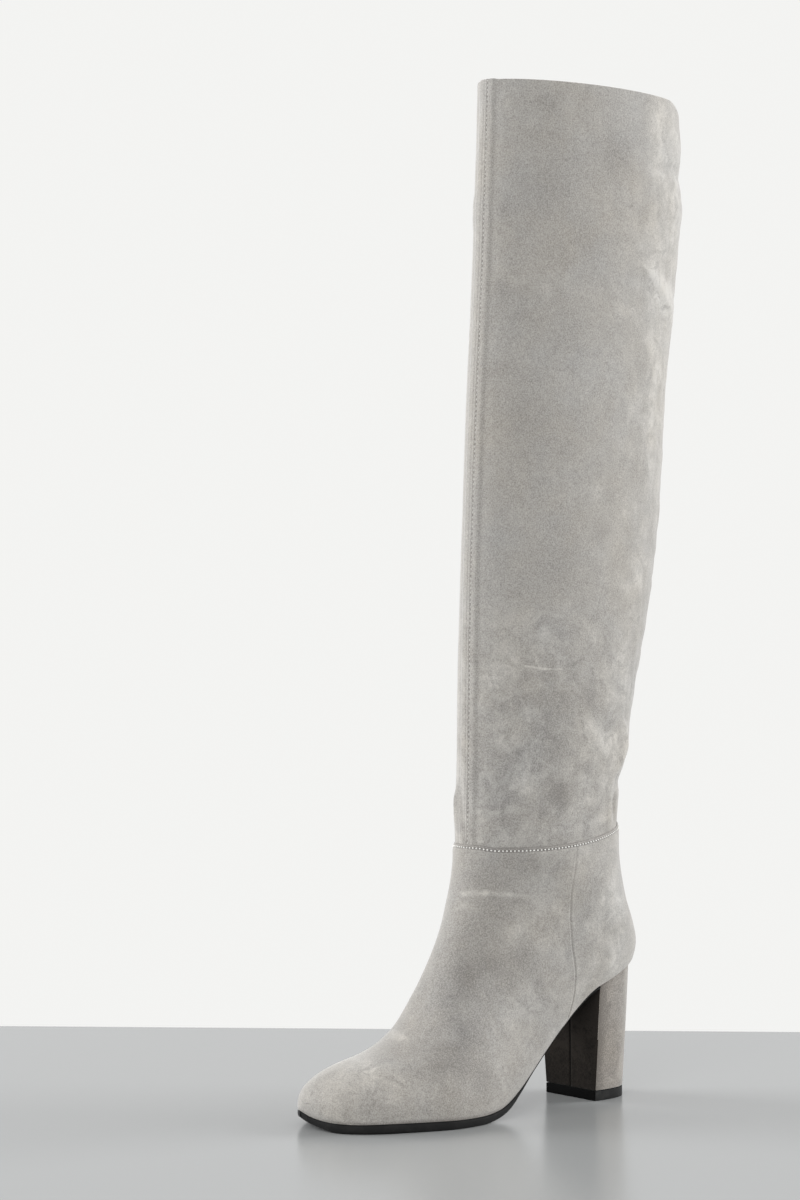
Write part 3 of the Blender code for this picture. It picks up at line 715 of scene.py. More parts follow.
# Columns down each side: close at the front seam, wide round the side and closer at the back
SHAFT_SHARES = np.concatenate((np.arange(0.0, 0.075, 0.0020), np.arange(0.075, 0.75, 0.0140),
                               np.arange(0.75, 0.9999, 0.0090)))
BAND_SIDE = 6.3          # half width of the raised front seam
BAND_SOFT = 1.6          # half width of its fading edge
BAND_RAISE = 0.6
BAND_TONE = -0.03
STRIP_TONE = 0.03        # more for the strip on the inner side of the seam
STRIP_SOFT = 0.4
BORDER_TONE = -0.12      # a faint shadow along the edge of the band
SEAM_SIDE = -0.7         # where the closed front seam runs, and its row of stitches
STITCH_SIDE = 1.9
CLOSING_LINE = (0.5, -0.25, -0.15)        # width, height and tone of the seam's line
STITCH_HOLES = (0.6, -0.35, -0.30)        # and of the sunk row of stitches, whose tone is painted shade
FRONT_FROM = 60.0        # whatever lies forward of this is the front of the leg
SHAFT_UNREST = -0.25     # how much calmer the nap is up the leg; then what is added elsewhere
LOW_UNREST = 1.5
LOW_UNREST_UP = (330.0, 250.0)
BACK_UNREST = 0.3
BACK_UNREST_FROM = (45.0, 10.0)
BACK_RUB_AND_RIM_LIGHT = 0.14         # the back of the leg, up to the collar, lighter: partly rubbed, partly painted rim light
BACK_RUB_AND_RIM_FROM = (16.0, 4.0)
BACK_RUB_AND_RIM_UP = (330.0, 420.0)
COLLAR_DIP = 9.0         # how far the collar's edge sinks at the back
COLLAR_DIP_FROM = (-10.0, -44.0)
COLLAR_DIP_UP = (540.0, 610.0)
SLACK_FROM = (52.0, 6.0)                  # forward places between which the leather goes slack
SLACK_UP = (166.0, 190.0, 575.0, 600.0)   # heights where that begins, is full, fades and ends
SLACK_WAVE = np.array((24.0, 24.0, 17.0))
SLACK_FINER = (1.0, 2.0, 3)               # how waves weaken, how much finer each is, how many
SLACK_HEIGHT = 0.65
# painted light on the waves' crests and painted shade in their hollows
SLACK_LIGHT_AND_SHADE = 0.12
FOLD_WAVE = np.array((10.0, 10.0, 21.0))  # the thin soft folds in the waves
FOLD_DEPTH = 0.28
FOLD_SHARP = 0.2
# painted shade in the thin folds
FOLD_SHADE = -0.05
FOLD_CREST = (0.3, 0.2)  # shares of its sharp and soft side between which a large fold is full
FOLD_END = (0.0, 0.3)    # shares of its length over which it fades, at each end
# Rows as for the upper's creases
SHAFT_CREASES = (
    (6.0, -2.2, -0.08, ((17.8, 39.2, 568.2), (-0.3, 35.4, 567.4),
                       (-26.0, 25.0, 566.0), (-38.0, 8.0, 564.0))),
    (15.0, 1.5, 0.08, ((-6.0, 34.0, 545.0), (-24.0, 26.0, 542.0), (-41.0, 6.0, 540.0))),
    (8.0, 0.9, 0.06, ((-10.0, 33.0, 588.0), (-30.0, 22.0, 586.0), (-41.0, 6.0, 584.0))),
    (7.0, 1.3, 0.0, ((120.5, -12.0, 194.0), (121.5, -12.0, 179.0), (122.5, -12.0, 166.0))),
    (12.0, 0.9, 0.0, ((109.0, -12.0, 548.0), (110.5, -12.0, 525.0))),
    (6.0, 0.7, 0.06, ((16.0, 38.0, 448.0), (0.0, 32.5, 436.0))),
    (4.0, -1.6, -0.05, ((36.0, 35.5, 236.0), (25.0, 30.0, 232.0), (10.0, 10.0, 230.0))),
    (2.8, 1.0, 0.12, ((33.0, 35.9, 239.4), (29.7, 34.0, 233.2), (23.0, 28.0, 220.6),
                      (24.0, 28.5, 210.6), (31.1, 31.3, 204.3), (35.0, 32.7, 195.3))),
    (9.0, 1.8, 0.10, ((34.0, 33.5, 216.0), (22.0, 26.0, 214.0), (8.0, 6.0, 213.0))),
    (4.2, -2.4, -0.16, ((37.0, 33.4, 198.0), (26.0, 26.0, 194.0), (12.0, 6.0, 192.0))),
    (2.6, 1.3, 0.14, ((40.4, 33.1, 186.0), (38.0, 31.5, 166.4))),
    (2.8, -1.4, -0.14, ((34.0, 30.8, 188.0), (31.2, 28.3, 170.7))),
    (6.0, 0.8, 0.10, ((68.1, 39.8, 227.1), (42.3, 36.0, 211.5))),
    (1.6, 0.5, 0.08, ((125.8, -1.8, 196.0), (125.7, 0.8, 177.7), (126.1, 2.6, 166.0))),
    (1.5, -0.5, -0.06, ((124.8, -5.6, 192.0), (125.6, -2.9, 175.7), (125.9, -1.0, 164.0))),
    (3.5, 1.1, 0.04, ((122.6, -11.4, 190.0), (123.0, -11.0, 183.9), (124.1, -9.2, 172.0))),
    (4.0, -1.2, 0.0, ((109.0, -10.0, 600.0), (108.0, -13.0, 585.0), (109.0, -11.0, 570.0))),
)
SHAFT_PATCHES = (
    (88, 36, 245, 12, -0.16), (87, 36, 216, 9, -0.19), (85, 36, 190, 8, -0.26),
    (115, 21, 177, 5, -0.19), (95, 33, 178, 5, -0.19), (113, 22, 211, 5, -0.13),
    (53, 40, 237, 6, -0.16), (126, 4, 167, 3, -0.22), (109, 25, 276, 12, 0.11),
    (96, 32, 285, 6, 0.13), (117, 17, 260, 9, 0.10), (109, 25, 225, 13, 0.13),
    (106, 28, 197, 8, 0.14), (63, 40, 226, 7, 0.19), (45, 38, 218, 8, 0.21),
    (60, 40, 282, 5, 0.16), (43, 39, 263, 5, 0.14), (37, 35, 209, 6, 0.19),
    (45, 34, 169, 4, 0.16), (85, 29, 599, 6, -0.16), (40, 40, 571, 15, -0.18),
    (87, 28, 549, 19, -0.10), (108, 13, 535, 6, -0.16), (110, 13, 490, 5, -0.14),
    (111, 13, 479, 5, -0.10), (113, 14, 440, 5, -0.14), (101, 23, 470, 7, -0.11),
    (16, 39, 540, 5, -0.16), (15, 37, 448, 6, -0.10), (4, 36, 594, 10, 0.16),
    (20, 39, 553, 5, 0.16), (-3, 35, 568, 5, 0.14), (-11, 33, 548, 8, 0.19),
    (-4, 34, 514, 7, 0.16), (36, 39, 479, 6, 0.14), (27, 39, 475, 5, 0.14), (2, 35, 492, 5, 0.19),
    (-2, 33, 457, 5, 0.16), (26, 38, 418, 9, 0.14), (14, 36, 409, 7, 0.16),
    (99, 27, 410, 17, -0.08), (60, 37, 518, 15, -0.08), (82, 35, 327, 17, -0.08),
    (54, 39, 363, 8, 0.11), (74, 35, 464, 12, -0.06), (87, 30, 491, 7, 0.08),
    (98, 22, 562, 5, 0.10), (20, 35, 327, 6, 0.16), (23, 35, 297, 5, 0.16), (3, 35, 497, 5, 0.18),
    (-5, 32, 488, 5, 0.22), (-12, 30, 481, 5, 0.18), (-2, 32, 440, 6, 0.18),
    (18, 38, 428, 5, 0.16), (6, 34, 405, 5, 0.18), (33, 39, 397, 5, 0.10), (57, 39, 370, 6, 0.12),
    (30, 38, 357, 6, 0.14), (11, 34, 347, 6, 0.16), (40, 39, 341, 6, 0.10),
    (17, 34, 316, 6, 0.16), (28, 37, 309, 6, 0.12), (47, 39, 364, 6, -0.10),
    (52, 39, 343, 7, -0.12), (33, 37, 269, 6, 0.14), (30, 36, 257, 6, 0.12),
    (62, 38, 188, 7, 0.14), (76, 37, 172, 6, 0.12), (51, 40, 273, 6, -0.12),
    (64, 40, 245, 8, -0.14), (48, 37, 206, 6, -0.14), (78, 37, 187, 7, -0.16),
    (54, 36, 181, 6, -0.14), (33, 31, 197, 4, -0.18),
)
# The thin scratch across the leg, given in the same way
SCRATCHES = (((104.0, 28.1, 265.2), (93.2, 33.7, 263.3), 0.9, 0.6),
             ((93.2, 33.7, 263.3), (82.5, 37.0, 263.1), 0.9, 0.6))
# One row for each fold: how wide its sharp and its soft side are, its height and tone, its path; the
# tone lightens the raised side, partly rubbed nap and partly painted highlight
SHAFT_FOLDS = (
    (1.8, 20.0, 1.9, 0.55, ((27.0, 39.4, 511.0), (11.6, 37.2, 495.6), (0.1, 34.1, 485.9),
                            (-15.5, 26.9, 476.6), (-30.0, 18.0, 468.0))),
    (3.0, 14.0, 1.0, 0.12, ((-34.0, 14.0, 571.0), (-8.0, 33.0, 570.0), (14.0, 38.8, 569.0))),
    (2.5, 9.0, 1.0, 0.16, ((22.0, 28.0, 226.0), (32.0, 34.0, 222.0), (41.0, 37.0, 216.0))),
    (2.5, 9.0, 1.0, 0.14, ((22.0, 24.0, 206.0), (32.0, 31.5, 199.0), (42.0, 34.5, 188.0))),
)


def fold_relief(points, folds):
    """Folds of slack leather: each is steep below its path and fades away above it. Its tone lightens
    the raised side: partly rubbed nap, partly painted highlight.
    """
    lift = np.zeros(len(points))
    rub_and_shade = np.zeros(len(points))
    rise, fall = FOLD_CREST
    for sharp, soft, height, tone, path in folds:
        distance, share = path_distance(points, path)
        run = np.subtract(path[-1], path[0])
        reach = points - path[0]
        above = np.sign((run[0] * reach[:, 2] - run[2] * reach[:, 0]) * run[0])
        across = distance * above
        shape = smooth(across, -sharp, rise * sharp) * (1 - smooth(across, fall * soft, soft))
        shape = shape * tapered(share, *FOLD_END)
        lift += height * shape
        rub_and_shade += tone * shape
    return lift, rub_and_shade


def front_seam_relief(points):
    """The pressed front seam: a low raised band, the closing line and the sunk row of stitches, with
    painted shade in the sunk row and a faint painted shadow along the band's edge.
    """
    side = points[:, 1]
    band = 1 - smooth(np.abs(side), BAND_SIDE - BAND_SOFT, BAND_SIDE + BAND_SOFT)
    strip = 1 - smooth(side, SEAM_SIDE - STRIP_SOFT, SEAM_SIDE + STRIP_SOFT)
    border = hump(np.abs(side) - BAND_SIDE - BAND_SOFT / 2, BAND_SOFT)
    lift = BAND_RAISE * band
    tone = (BAND_TONE + STRIP_TONE * strip) * band + BORDER_TONE * border
    for line_side, (width, height, dark) in ((SEAM_SIDE, CLOSING_LINE), (STITCH_SIDE, STITCH_HOLES)):
        line = hump(side - line_side, width)
        lift += height * line
        tone += dark * line
    front = points[:, 0] > FRONT_FROM
    return lift * front, tone * front


def slack_share(points):
    """How slack the leather is: only at the back of the leg, and not at the ankle or the collar."""
    begin, full, fade, end = SLACK_UP
    up = points[:, 2]
    return smooth(points[:, 0], *SLACK_FROM) * smooth(up, begin, full) * smooth(up, end, fade)


def slack_relief(points):
    """Low waves of the slack leather with thin soft folds through them, with painted light on the
    crests and painted shade in the hollows and folds.
    """
    share = slack_share(points)
    waves = np.array([mathutils.noise.fractal(point, *SLACK_FINER) for point in points / SLACK_WAVE])
    folds = np.array([mathutils.noise.noise(point) for point in points / FOLD_WAVE])
    pinch = hump(folds, FOLD_SHARP)
    return (share * (SLACK_HEIGHT * waves - FOLD_DEPTH * pinch),
            share * (SLACK_LIGHT_AND_SHADE * waves + FOLD_SHADE * pinch))


def shaft_relief(points):
    lift, tone = crease_relief(points, SHAFT_CREASES)
    for part_lift, part_tone in (fold_relief(points, SHAFT_FOLDS), front_seam_relief(points),
                                 slack_relief(points)):
        lift = lift + part_lift
        tone = tone + part_tone
    forward = points[:, 0]
    up = points[:, 2]
    # The back of the leg lighter: rubbed nap with painted rim light
    tone = tone + BACK_RUB_AND_RIM_LIGHT * smooth(forward, *BACK_RUB_AND_RIM_FROM) * smooth(up, *BACK_RUB_AND_RIM_UP)
    unrest = (SHAFT_UNREST + LOW_UNREST * smooth(up, *LOW_UNREST_UP)
              + BACK_UNREST * smooth(forward, *BACK_UNREST_FROM))
    return lift, tone + patch_tone(points, SHAFT_PATCHES), unrest


def collar_dip(forward, up):
    """How far the collar's edge sinks at the back of the leg."""
    return COLLAR_DIP * smooth(forward, *COLLAR_DIP_FROM) * smooth(up, *COLLAR_DIP_UP)


leg_steps = round((section_along[-1] - section_along[ANKLE_ROW]) / LEG_STEP) + 1
leg_stations = np.linspace(section_along[ANKLE_ROW], section_along[-1], leg_steps)
shaft_rows = np.concatenate((foot_stations, leg_stations[1:]))
leg, leg_outward = boot_face(shaft_rows, SHAFT_SHARES)
leg_low_row = int(np.argmax(leg[:, :, 2].max(axis=1) > SEAM_UP - LAP)) - ROWS_BELOW
leg = leg[leg_low_row:]
leg_outward = leg_outward[leg_low_row:]
leg[:, :, 2] -= collar_dip(leg[:, :, 0], leg[:, :, 2])
turns = np.linspace(0, np.pi, RIM_STEPS + 1)[1:]
half_wall = SHAFT_WALL / 2
rim = [leg[-1] + leg_outward[-1] * half_wall * (np.cos(turn) - 1) + (0, 0, half_wall * np.sin(turn))
       for turn in turns]
turned_in = [rim[-1] - (0, 0, drop) for drop in np.linspace(0, COLLAR_TURN, TURN_STEPS + 1)[1:]]
shaft_face = tube(np.concatenate((leg, rim, turned_in)), pole=False)
cut(shaft_face, below_seam(LAP), keep="above")
suede_shaft = suede("suede_shaft", SCRATCHES)
shaft = dress("shaft_suede", shaft_face, shaft_relief, suede_shaft, SHAFT_LEATHER)
seat(shaft, "shaft")

# The stitching: a light linen-coloured thread in one row below the top edge of the upper, and a
# grey thread in one row beside the front seam. Each is a row of single stitches in a sunk line.
ANKLE_STITCH = {"Pitch": 2.35, "Length": 1.15, "Thread": 0.95}
FRONT_STITCH = {"Pitch": 2.8, "Length": 1.5, "Thread": 0.6}
ANKLE_THREAD = ((0.86, 0.85, 0.81, 1.0), (0.96, 0.95, 0.92, 1.0))
FRONT_THREAD = ((0.52, 0.51, 0.48, 1.0), (0.70, 0.69, 0.65, 1.0))
THREAD_TWIST = (900.0, 2.0)   # scale and detail of the thread's noise
STITCH_SWAY = 0.1             # how far a stitch leans out of its row
STITCH_SEED = 7
ANKLE_THREAD_UP = 0.28        # how far the middle of a thread lies above the leather
FRONT_THREAD_UP = 0.1
FRONT_STITCH_FROM = 0.5       # how far above the upper's edge the front row begins
FRONT_COLUMNS = 20            # columns to each side among which that row runs


def thread(name, colours):
    material, finish = new_finish(name)
    where = finish.node("ShaderNodeTexCoord", output="Object")
    twist = noise(finish, where, *THREAD_TWIST)
    finish.feed(finish.shader, {"Base Color": finish.mix(twist, *colours),
                                "Roughness": 0.6 + 0.2 * twist,
                                "Normal": bumped(finish, twist, 0.3, 0.0002)})
    return material


def stitch_tree():
    """Stitches along a path: one small rounded bar at each pitch, laid along the path."""
    tree = bpy.data.node_groups.new("stitch_row", "GeometryNodeTree")
    for name, kind in (("Path", "NodeSocketGeometry"), ("Pitch", "NodeSocketFloat"),
                       ("Length", "NodeSocketFloat"), ("Thread", "NodeSocketFloat"),
                       ("Yarn", "NodeSocketMaterial")):
        tree.interface.new_socket(name=name, in_out="INPUT", socket_type=kind)
    tree.interface.new_socket(name="Stitches", in_out="OUTPUT", socket_type="NodeSocketGeometry")
    row = Finish(tree)
    path = row.node("NodeGroupInput", output="Path")
    line = row.node("GeometryNodeMeshToCurve", None, {"Mesh": path})
    spots = row.node("GeometryNodeCurveToPoints", {"mode": "LENGTH"},
                     {"Curve": line, "Length": path.also("Pitch")}, output="Points")
    sway = row.node("FunctionNodeRandomValue", {"data_type": "FLOAT_VECTOR"},
                    {"Min": (-STITCH_SWAY,) * 3, "Max": (STITCH_SWAY,) * 3, "Seed": STITCH_SEED},
                    output="Value")
    lean = row.node("ShaderNodeVectorMath", {"operation": "ADD"}, {0: spots.also("Tangent"), 1: sway})
    turn = row.node("FunctionNodeAlignRotationToVector", {"axis": "X"}, {"Vector": lean})
    bead = row.node("GeometryNodeMeshUVSphere", None, {"Segments": 8, "Rings": 5, "Radius": 0.5},
                    output="Mesh")
    size = row.node("ShaderNodeCombineXYZ", None, {"X": path.also("Length"), "Y": path.also("Thread"),
                                                   "Z": path.also("Thread")})
    bar = row.node("GeometryNodeTransform", None, {"Geometry": bead, "Scale": size})
    bars = row.node("GeometryNodeInstanceOnPoints", None,
                    {"Points": spots, "Instance": bar, "Rotation": turn})
    real = row.node("GeometryNodeRealizeInstances", None, {"Geometry": bars})
    yarn = row.node("GeometryNodeSetMaterial", None,
                    {"Geometry": real, "Material": path.also("Yarn")})
    row.node("NodeGroupOutput", None, {"Stitches": yarn})
    return tree


stitching = stitch_tree()


def stitch_row(name, path, closed, sizes, material):
    """A row of stitches along a path, as one piece."""
    points = [tuple(point) for point in place(path)]
    edges = [(i, i + 1) for i in range(len(points) - 1)]
    if closed:
        edges.append((len(points) - 1, 0))
    line = bpy.data.meshes.new(name)
    line.from_pydata(points, edges, [])
    piece = show(name, line)
    rows = piece.modifiers.new("stitches", "NODES")
    rows.node_group = stitching
    values = {label: size / 1000 for label, size in sizes.items()}
    values["Yarn"] = material
    for item in stitching.interface.items_tree:
        if item.in_out == "INPUT" and item.name in values:
            rows[item.identifier] = values[item.name]
    finish_piece(piece, material)
    seat(piece, None)


ankle_path = []
for column in range(upper_skin.shape[1]):
    above = upper_skin[:, column, 2] - seam_up(upper_skin[:, column, 0]) + ANKLE_STITCH_BELOW
    low = int(np.nonzero(above < 0)[0][-1])
    t = -above[low] / (above[low + 1] - above[low])
    point = upper_skin[low, column] * (1 - t) + upper_skin[low + 1, column] * t
    thread_up = upper_relief(point[None])[0][0] + ANKLE_THREAD_UP
    ankle_path.append(point + outward[low, column] * thread_up)
linen_thread = thread("linen_thread", ANKLE_THREAD)
stitch_row("ankle_stitches", ankle_path, True, ANKLE_STITCH, linen_thread)

front_columns = np.arange(-FRONT_COLUMNS, FRONT_COLUMNS + 1)
front_path = []
for ring, directions in zip(leg, leg_outward):
    front = ring[front_columns]
    facing = directions[front_columns]
    point, direction = (np.array([np.interp(STITCH_SIDE, front[:, 1], axis) for axis in values.T])
                        for values in (front, facing))
    if point[2] > seam_up(point[0]) + FRONT_STITCH_FROM:
        thread_up = shaft_relief(point[None])[0][0] + FRONT_THREAD_UP
        front_path.append(point + direction * thread_up)
grey_thread = thread("grey_thread", FRONT_THREAD)
stitch_row("front_stitches", front_path, False, FRONT_STITCH, grey_thread)

# The lining: thin pale leather stuck inside the leg and the foot, with its top edge under the
# turned-in collar. Nothing of it shows from outside, so it is plain.
LINING_WALL = 0.7
LINING_COLUMNS = 48
LINING_COLOURS = ((0.40, 0.36, 0.30, 1.0), (0.52, 0.47, 0.40, 1.0))
LINING_PEBBLE = 900.0         # scale of its pebble, and scale and detail of its cloudy colour
LINING_CLOUD = (30.0, 4.0)
LINING_EASE = (1.8, 1.3)      # how much wider and deeper the leg's troughs are in the lining
INSOLE_THICK = 2.2


def soft_leather(name, colours):
    """Smooth lining leather with a faint pebble."""
    material, finish = new_finish(name)
    where = finish.node("ShaderNodeTexCoord", output="Object")
    pebble = finish.node("ShaderNodeTexVoronoi", {"feature": "SMOOTH_F1"},
                         {"Vector": where, "Scale": LINING_PEBBLE})
    cloud = noise(finish, where, *LINING_CLOUD)
    finish.feed(finish.shader, {"Base Color": finish.mix(cloud, *colours),
                                "Roughness": 0.5 + 0.2 * cloud,
                                "Normal": bumped(finish, pebble, 0.15, 0.0003)})
    return material


def lining_relief(points):
    """Keeps the lining clear of the leg's troughs and slack waves. It has no nap to paint."""
    wider, deeper = LINING_EASE
    troughs = [(wider * width, deeper * height, 0.0, path)
               for width, height, _, path in SHAFT_CREASES if height < 0]
    lift, _ = crease_relief(points, troughs)
    return lift - (SLACK_HEIGHT + FOLD_DEPTH) * slack_share(points), 0.0, 0.0


def lining_top(forward, side):
    """Height of the lining's top edge, under the turned-in collar."""
    crown, base = section_table[-1, 0:2], section_table[-1, 2:4]
    collar = base[1] + (crown[1] - base[1]) * (forward - base[0]) / (crown[0] - base[0])
    return collar - COLLAR_TURN - COLLAR_DIP * smooth(forward, *COLLAR_DIP_FROM)


lining_stations = np.concatenate((toe_stations[::3], foot_stations[2::2], leg_stations[1::2],
                                  leg_stations[-1:]))
lining_shares = np.linspace(0.0, 1.0, LINING_COLUMNS + 1)[:-1]
inside, inside_outward = boot_face(np.unique(lining_stations), lining_shares)
lining_face = tube(inside - inside_outward * (SHAFT_WALL - LINING_WALL), pole=True)
cut(lining_face, above_feather(INSOLE_THICK + GAP), keep="above")
cut(lining_face, lining_top, keep="below")
lining_leather = soft_leather("lining_leather", LINING_COLOURS)
lining = dress("lining", lining_face, lining_relief, lining_leather, LINING_WALL)
seat(lining, None)

# The insole: a thin board covered with the same lining leather. It lies on the outsole and on the
# seat of the heel, and closes the foot inside the upper.
INSOLE_INSET = 0.5
INSOLE_STATIONS = 90
INSOLE_END = 0.06             # how far short of the very ends its stations stop
PLAN_MIDDLE = (95.0, -2.0)
SHARP_EDGE = 0.7              # angle from which an edge is kept sharp, or eased, in radians


def outline(grid, raise_by=0.0):
    """Plan of a form where it crosses the feather line, as (forward, side) round the boot."""
    bm = tube(grid, pole=True)
    for vert in bm.verts:
        vert.co.z -= float(feather_up(vert.co.x, vert.co.y)) + raise_by
    crossing = bmesh.ops.bisect_plane(bm, geom=bm.verts[:] + bm.edges[:] + bm.faces[:], dist=1e-5,
                                      plane_co=(0, 0, 0), plane_no=(0, 0, 1))["geom_cut"]
    points = np.array([vert.co[:2] for vert in crossing if isinstance(vert, bmesh.types.BMVert)])
    bm.free()
    spoke = points - PLAN_MIDDLE
    return points[np.argsort(np.arctan2(spoke[:, 1], spoke[:, 0]))]


def widened(points, amount):
    """A closed plan outline moved outwards by an amount."""
    edge = np.roll(points, -1, axis=0) - np.roll(points, 1, axis=0)
    normal = np.column_stack((edge[:, 1], -edge[:, 0]))
    return points + amount * normal / np.linalg.norm(normal, axis=1, keepdims=True)


def sides_at(points, forward):
    """Inner and outer side of a closed plan outline at a forward place."""
    ahead = np.roll(points, -1, axis=0)
    crossing = (points[:, 0] - forward) * (ahead[:, 0] - forward) <= 0
    start = points[crossing]
    step = ahead[crossing] - start
    share = (forward - start[:, 0]) / np.where(np.abs(step[:, 0]) < 1e-9, 1e-9, step[:, 0])
    side = start[:, 1] + np.clip(share, 0, 1) * step[:, 1]
    return side.min(), side.max()


def between(height, start, end, count):
    """Points between two sides of a sheet, at its height."""
    sides = np.linspace(start[1], end[1], count + 1)[1:-1]
    return [(start[0], side, float(height(start[0], side))) for side in sides]


def slab(name, levels, shares, material, first_forward=None, across=12):
    """A sheet between plan outlines; each level is (outline, height function), top level first."""
    rings = []
    for share in shares:
        inner_side = []
        outer_side = []
        for points, height in levels:
            rear = points[:, 0].min() if first_forward is None else first_forward
            forward = rear + share * (points[:, 0].max() - rear)
            inner, outer = sides_at(points, forward)
            inner_side.append((forward, inner, float(height(forward, inner))))
            outer_side.append((forward, outer, float(height(forward, outer))))
        top = between(levels[0][1], inner_side[0], outer_side[0], across)
        low = between(levels[-1][1], outer_side[-1], inner_side[-1], across)
        rings.append(np.concatenate((top, outer_side, low, inner_side[::-1])))
    return lofted(name, rings, material)


def lofted(name, rings, material, bevel=0.0):
    """A closed solid through rings of points, with flat ends and eased edges."""
    bm = tube(np.array(rings), pole=False)
    bm.verts.ensure_lookup_table()
    count = len(rings[0])
    bm.faces.new(bm.verts[:count])
    bm.faces.new(bm.verts[-count:])
    bmesh.ops.recalc_face_normals(bm, faces=bm.faces[:])
    mesh = bpy.data.meshes.new(name)
    bm.to_mesh(mesh)
    bm.free()
    mesh.vertices.foreach_set("co", place(vertex_values(mesh, "co")).ravel())
    mesh.update()
    piece = show(name, mesh)
    if bevel:
        ease = piece.modifiers.new("ease", "BEVEL")
        ease.width = bevel / 1000
        ease.segments = 3
        ease.limit_method = "ANGLE"
        ease.angle_limit = SHARP_EDGE
    finish_piece(piece, material, sharp=SHARP_EDGE)
    return piece


upper_inside = form + outward * GAP
insole_low = widened(outline(upper_inside), -INSOLE_INSET)
insole_top = widened(outline(upper_inside, INSOLE_THICK), -INSOLE_INSET)
insole_turn = np.linspace(INSOLE_END, np.pi - INSOLE_END, INSOLE_STATIONS)
insole_levels = ((insole_top, above_feather(INSOLE_THICK)), (insole_low, feather_up))
insole = slab("insole_sock", insole_levels, (1 - np.cos(insole_turn)) / 2, lining_leather)
seat(insole, "insole")

# The outsole: one thin sheet of black rubber from the toe to the breast of the heel, stuck under
# the upper. Its edge is trimmed close and polished, and tucked in under the arch.
SOLE_EDGE = 0.9               # how far the edge stands out of the upper round the forefoot,
WAIST_EDGE = -0.7             # under the arch, and at the toe
WAIST = (96.0, 126.0)
TOE_EDGE = 0.1
TOE_EDGE_FROM = (205.0, 228.0)
HEEL_BREAST = (41.2, 42.0)    # forward place of the heel's breast, at the floor and at the seat
SOLE_STATIONS = 100
SOLE_TOE_STATIONS = 44
SOLE_TOE = (0.75, 0.9985)     # share of its length where the toe's closer stations begin and end
# Shape of the edge, from top to bottom: share of its overhang and share of the thickness
SOLE_EDGE_RINGS = ((0.5, 0.0), (0.8, 0.07), (1.0, 0.25), (1.0, 0.75), (0.75, 0.93), (0.2, 1.0))
SOLE_BLACK = (0.008, 0.008, 0.008, 1.0)
SOLE_WORN = (0.028, 0.027, 0.026, 1.0)
SOLE_ROUGHNESS = 0.42
RUBBER_SCUFF = (120.0, 5.0, 0.65)   # scale, detail and roughness of the scuffs' noise
RUBBER_GRIT = (1500.0, 2.0)
SCUFF_GAIN = 2.2
SCUFF_ROUGHER = 0.25
UNDERSIDE = ((43.0, 68.7), (46.0, 67.6), (50.0, 65.0), (54.0, 61.9), (58.5, 58.2), (65.0, 52.6),
             (75.0, 43.6), (86.0, 33.7), (99.0, 21.6), (108.0, 13.6), (117.0, 7.0), (125.0, 3.4),
             (137.0, 0.8), (146.0, 0.0), (160.0, 0.0), (180.0, 0.0), (200.0, 0.0), (212.0, 0.0),
             (217.0, 0.0), (221.0, 0.3), (225.0, 1.2), (228.0, 2.1), (232.0, 3.5), (235.0, 5.2),
             (236.5, 6.6), (242.0, 12.0))


def sole_up(forward, side, depth):
    """Height in the outsole, at a share of its thickness below its top."""
    underside = np.maximum(curve(toe_line(forward, side), *zip(*UNDERSIDE)), 0.0)
    return (1 - depth) * (feather_up(forward, side) - GAP) + depth * underside


def sole_outline(points, edge_share):
    """The outsole's plan: proud of the upper at the forefoot and tucked in at the waist."""
    along = points[:, 0]
    edge = WAIST_EDGE + (SOLE_EDGE - WAIST_EDGE) * smooth(along, *WAIST)
    edge -= (SOLE_EDGE - TOE_EDGE) * smooth(along, *TOE_EDGE_FROM)
    return widened(points, (edge - (1 - edge_share) * SOLE_EDGE)[:, None])


def rubber(name, colour, worn_colour, roughness, gloss=0.28):
    """Black rubber with faint scuffs and dust."""
    material, finish = new_finish(name)
    where = finish.node("ShaderNodeTexCoord", output="Object")
    scuff = noise(finish, where, *RUBBER_SCUFF)
    grit = noise(finish, where, *RUBBER_GRIT)
    worn = ((scuff - 0.5) * SCUFF_GAIN).clipped()
    finish.feed(finish.shader, {"Base Color": finish.mix(worn, colour, worn_colour),
                                "Roughness": roughness + SCUFF_ROUGHER * (scuff - 0.5),
                                "Normal": bumped(finish, 0.5 * grit + 0.5 * scuff, 0.2, 0.0003),
                                "Specular IOR Level": gloss})
    return material


plan = outline(upper_skin)
toe_turn = np.sin(np.linspace(0, np.pi / 2, SOLE_TOE_STATIONS))
toe_shares = SOLE_TOE[0] + (SOLE_TOE[1] - SOLE_TOE[0]) * toe_turn
sole_shares = np.concatenate((np.linspace(0, SOLE_TOE[0], SOLE_STATIONS), toe_shares[1:]))
sole_levels = [(sole_outline(plan, overhang), lambda f, side, depth=depth: sole_up(f, side, depth))
               for overhang, depth in SOLE_EDGE_RINGS]
sole_rubber = rubber("sole_rubber", SOLE_BLACK, SOLE_WORN, SOLE_ROUGHNESS)
outsole = slab("outsole_rubber", sole_levels, sole_shares, sole_rubber, HEEL_BREAST[1] + 2 * GAP)
seat(outsole, "outsole")

# The heel: a stacked block wrapped in the same suede, which meets in a seam down the middle of its
# breast.
# Its sides are set darker as painted shade, and its breast near black, partly a dark covering and
# partly painted shade under the arch. It is nailed on from inside through the insole.
HEEL_BACK = (8.0, 3.0)   # at the floor and at the seat, as for the breast
HEEL_HALF_WIDTH = (22.0, 27.6)
HEEL_ROUNDNESS = (3.0, 2.4)
HEEL_LEVELS = np.linspace(0.0, 1.0, 30)
HEEL_EASE = 0.6          # how far its edges are eased
CAP_THICK = 6.0
BREAST_STEPS = 48
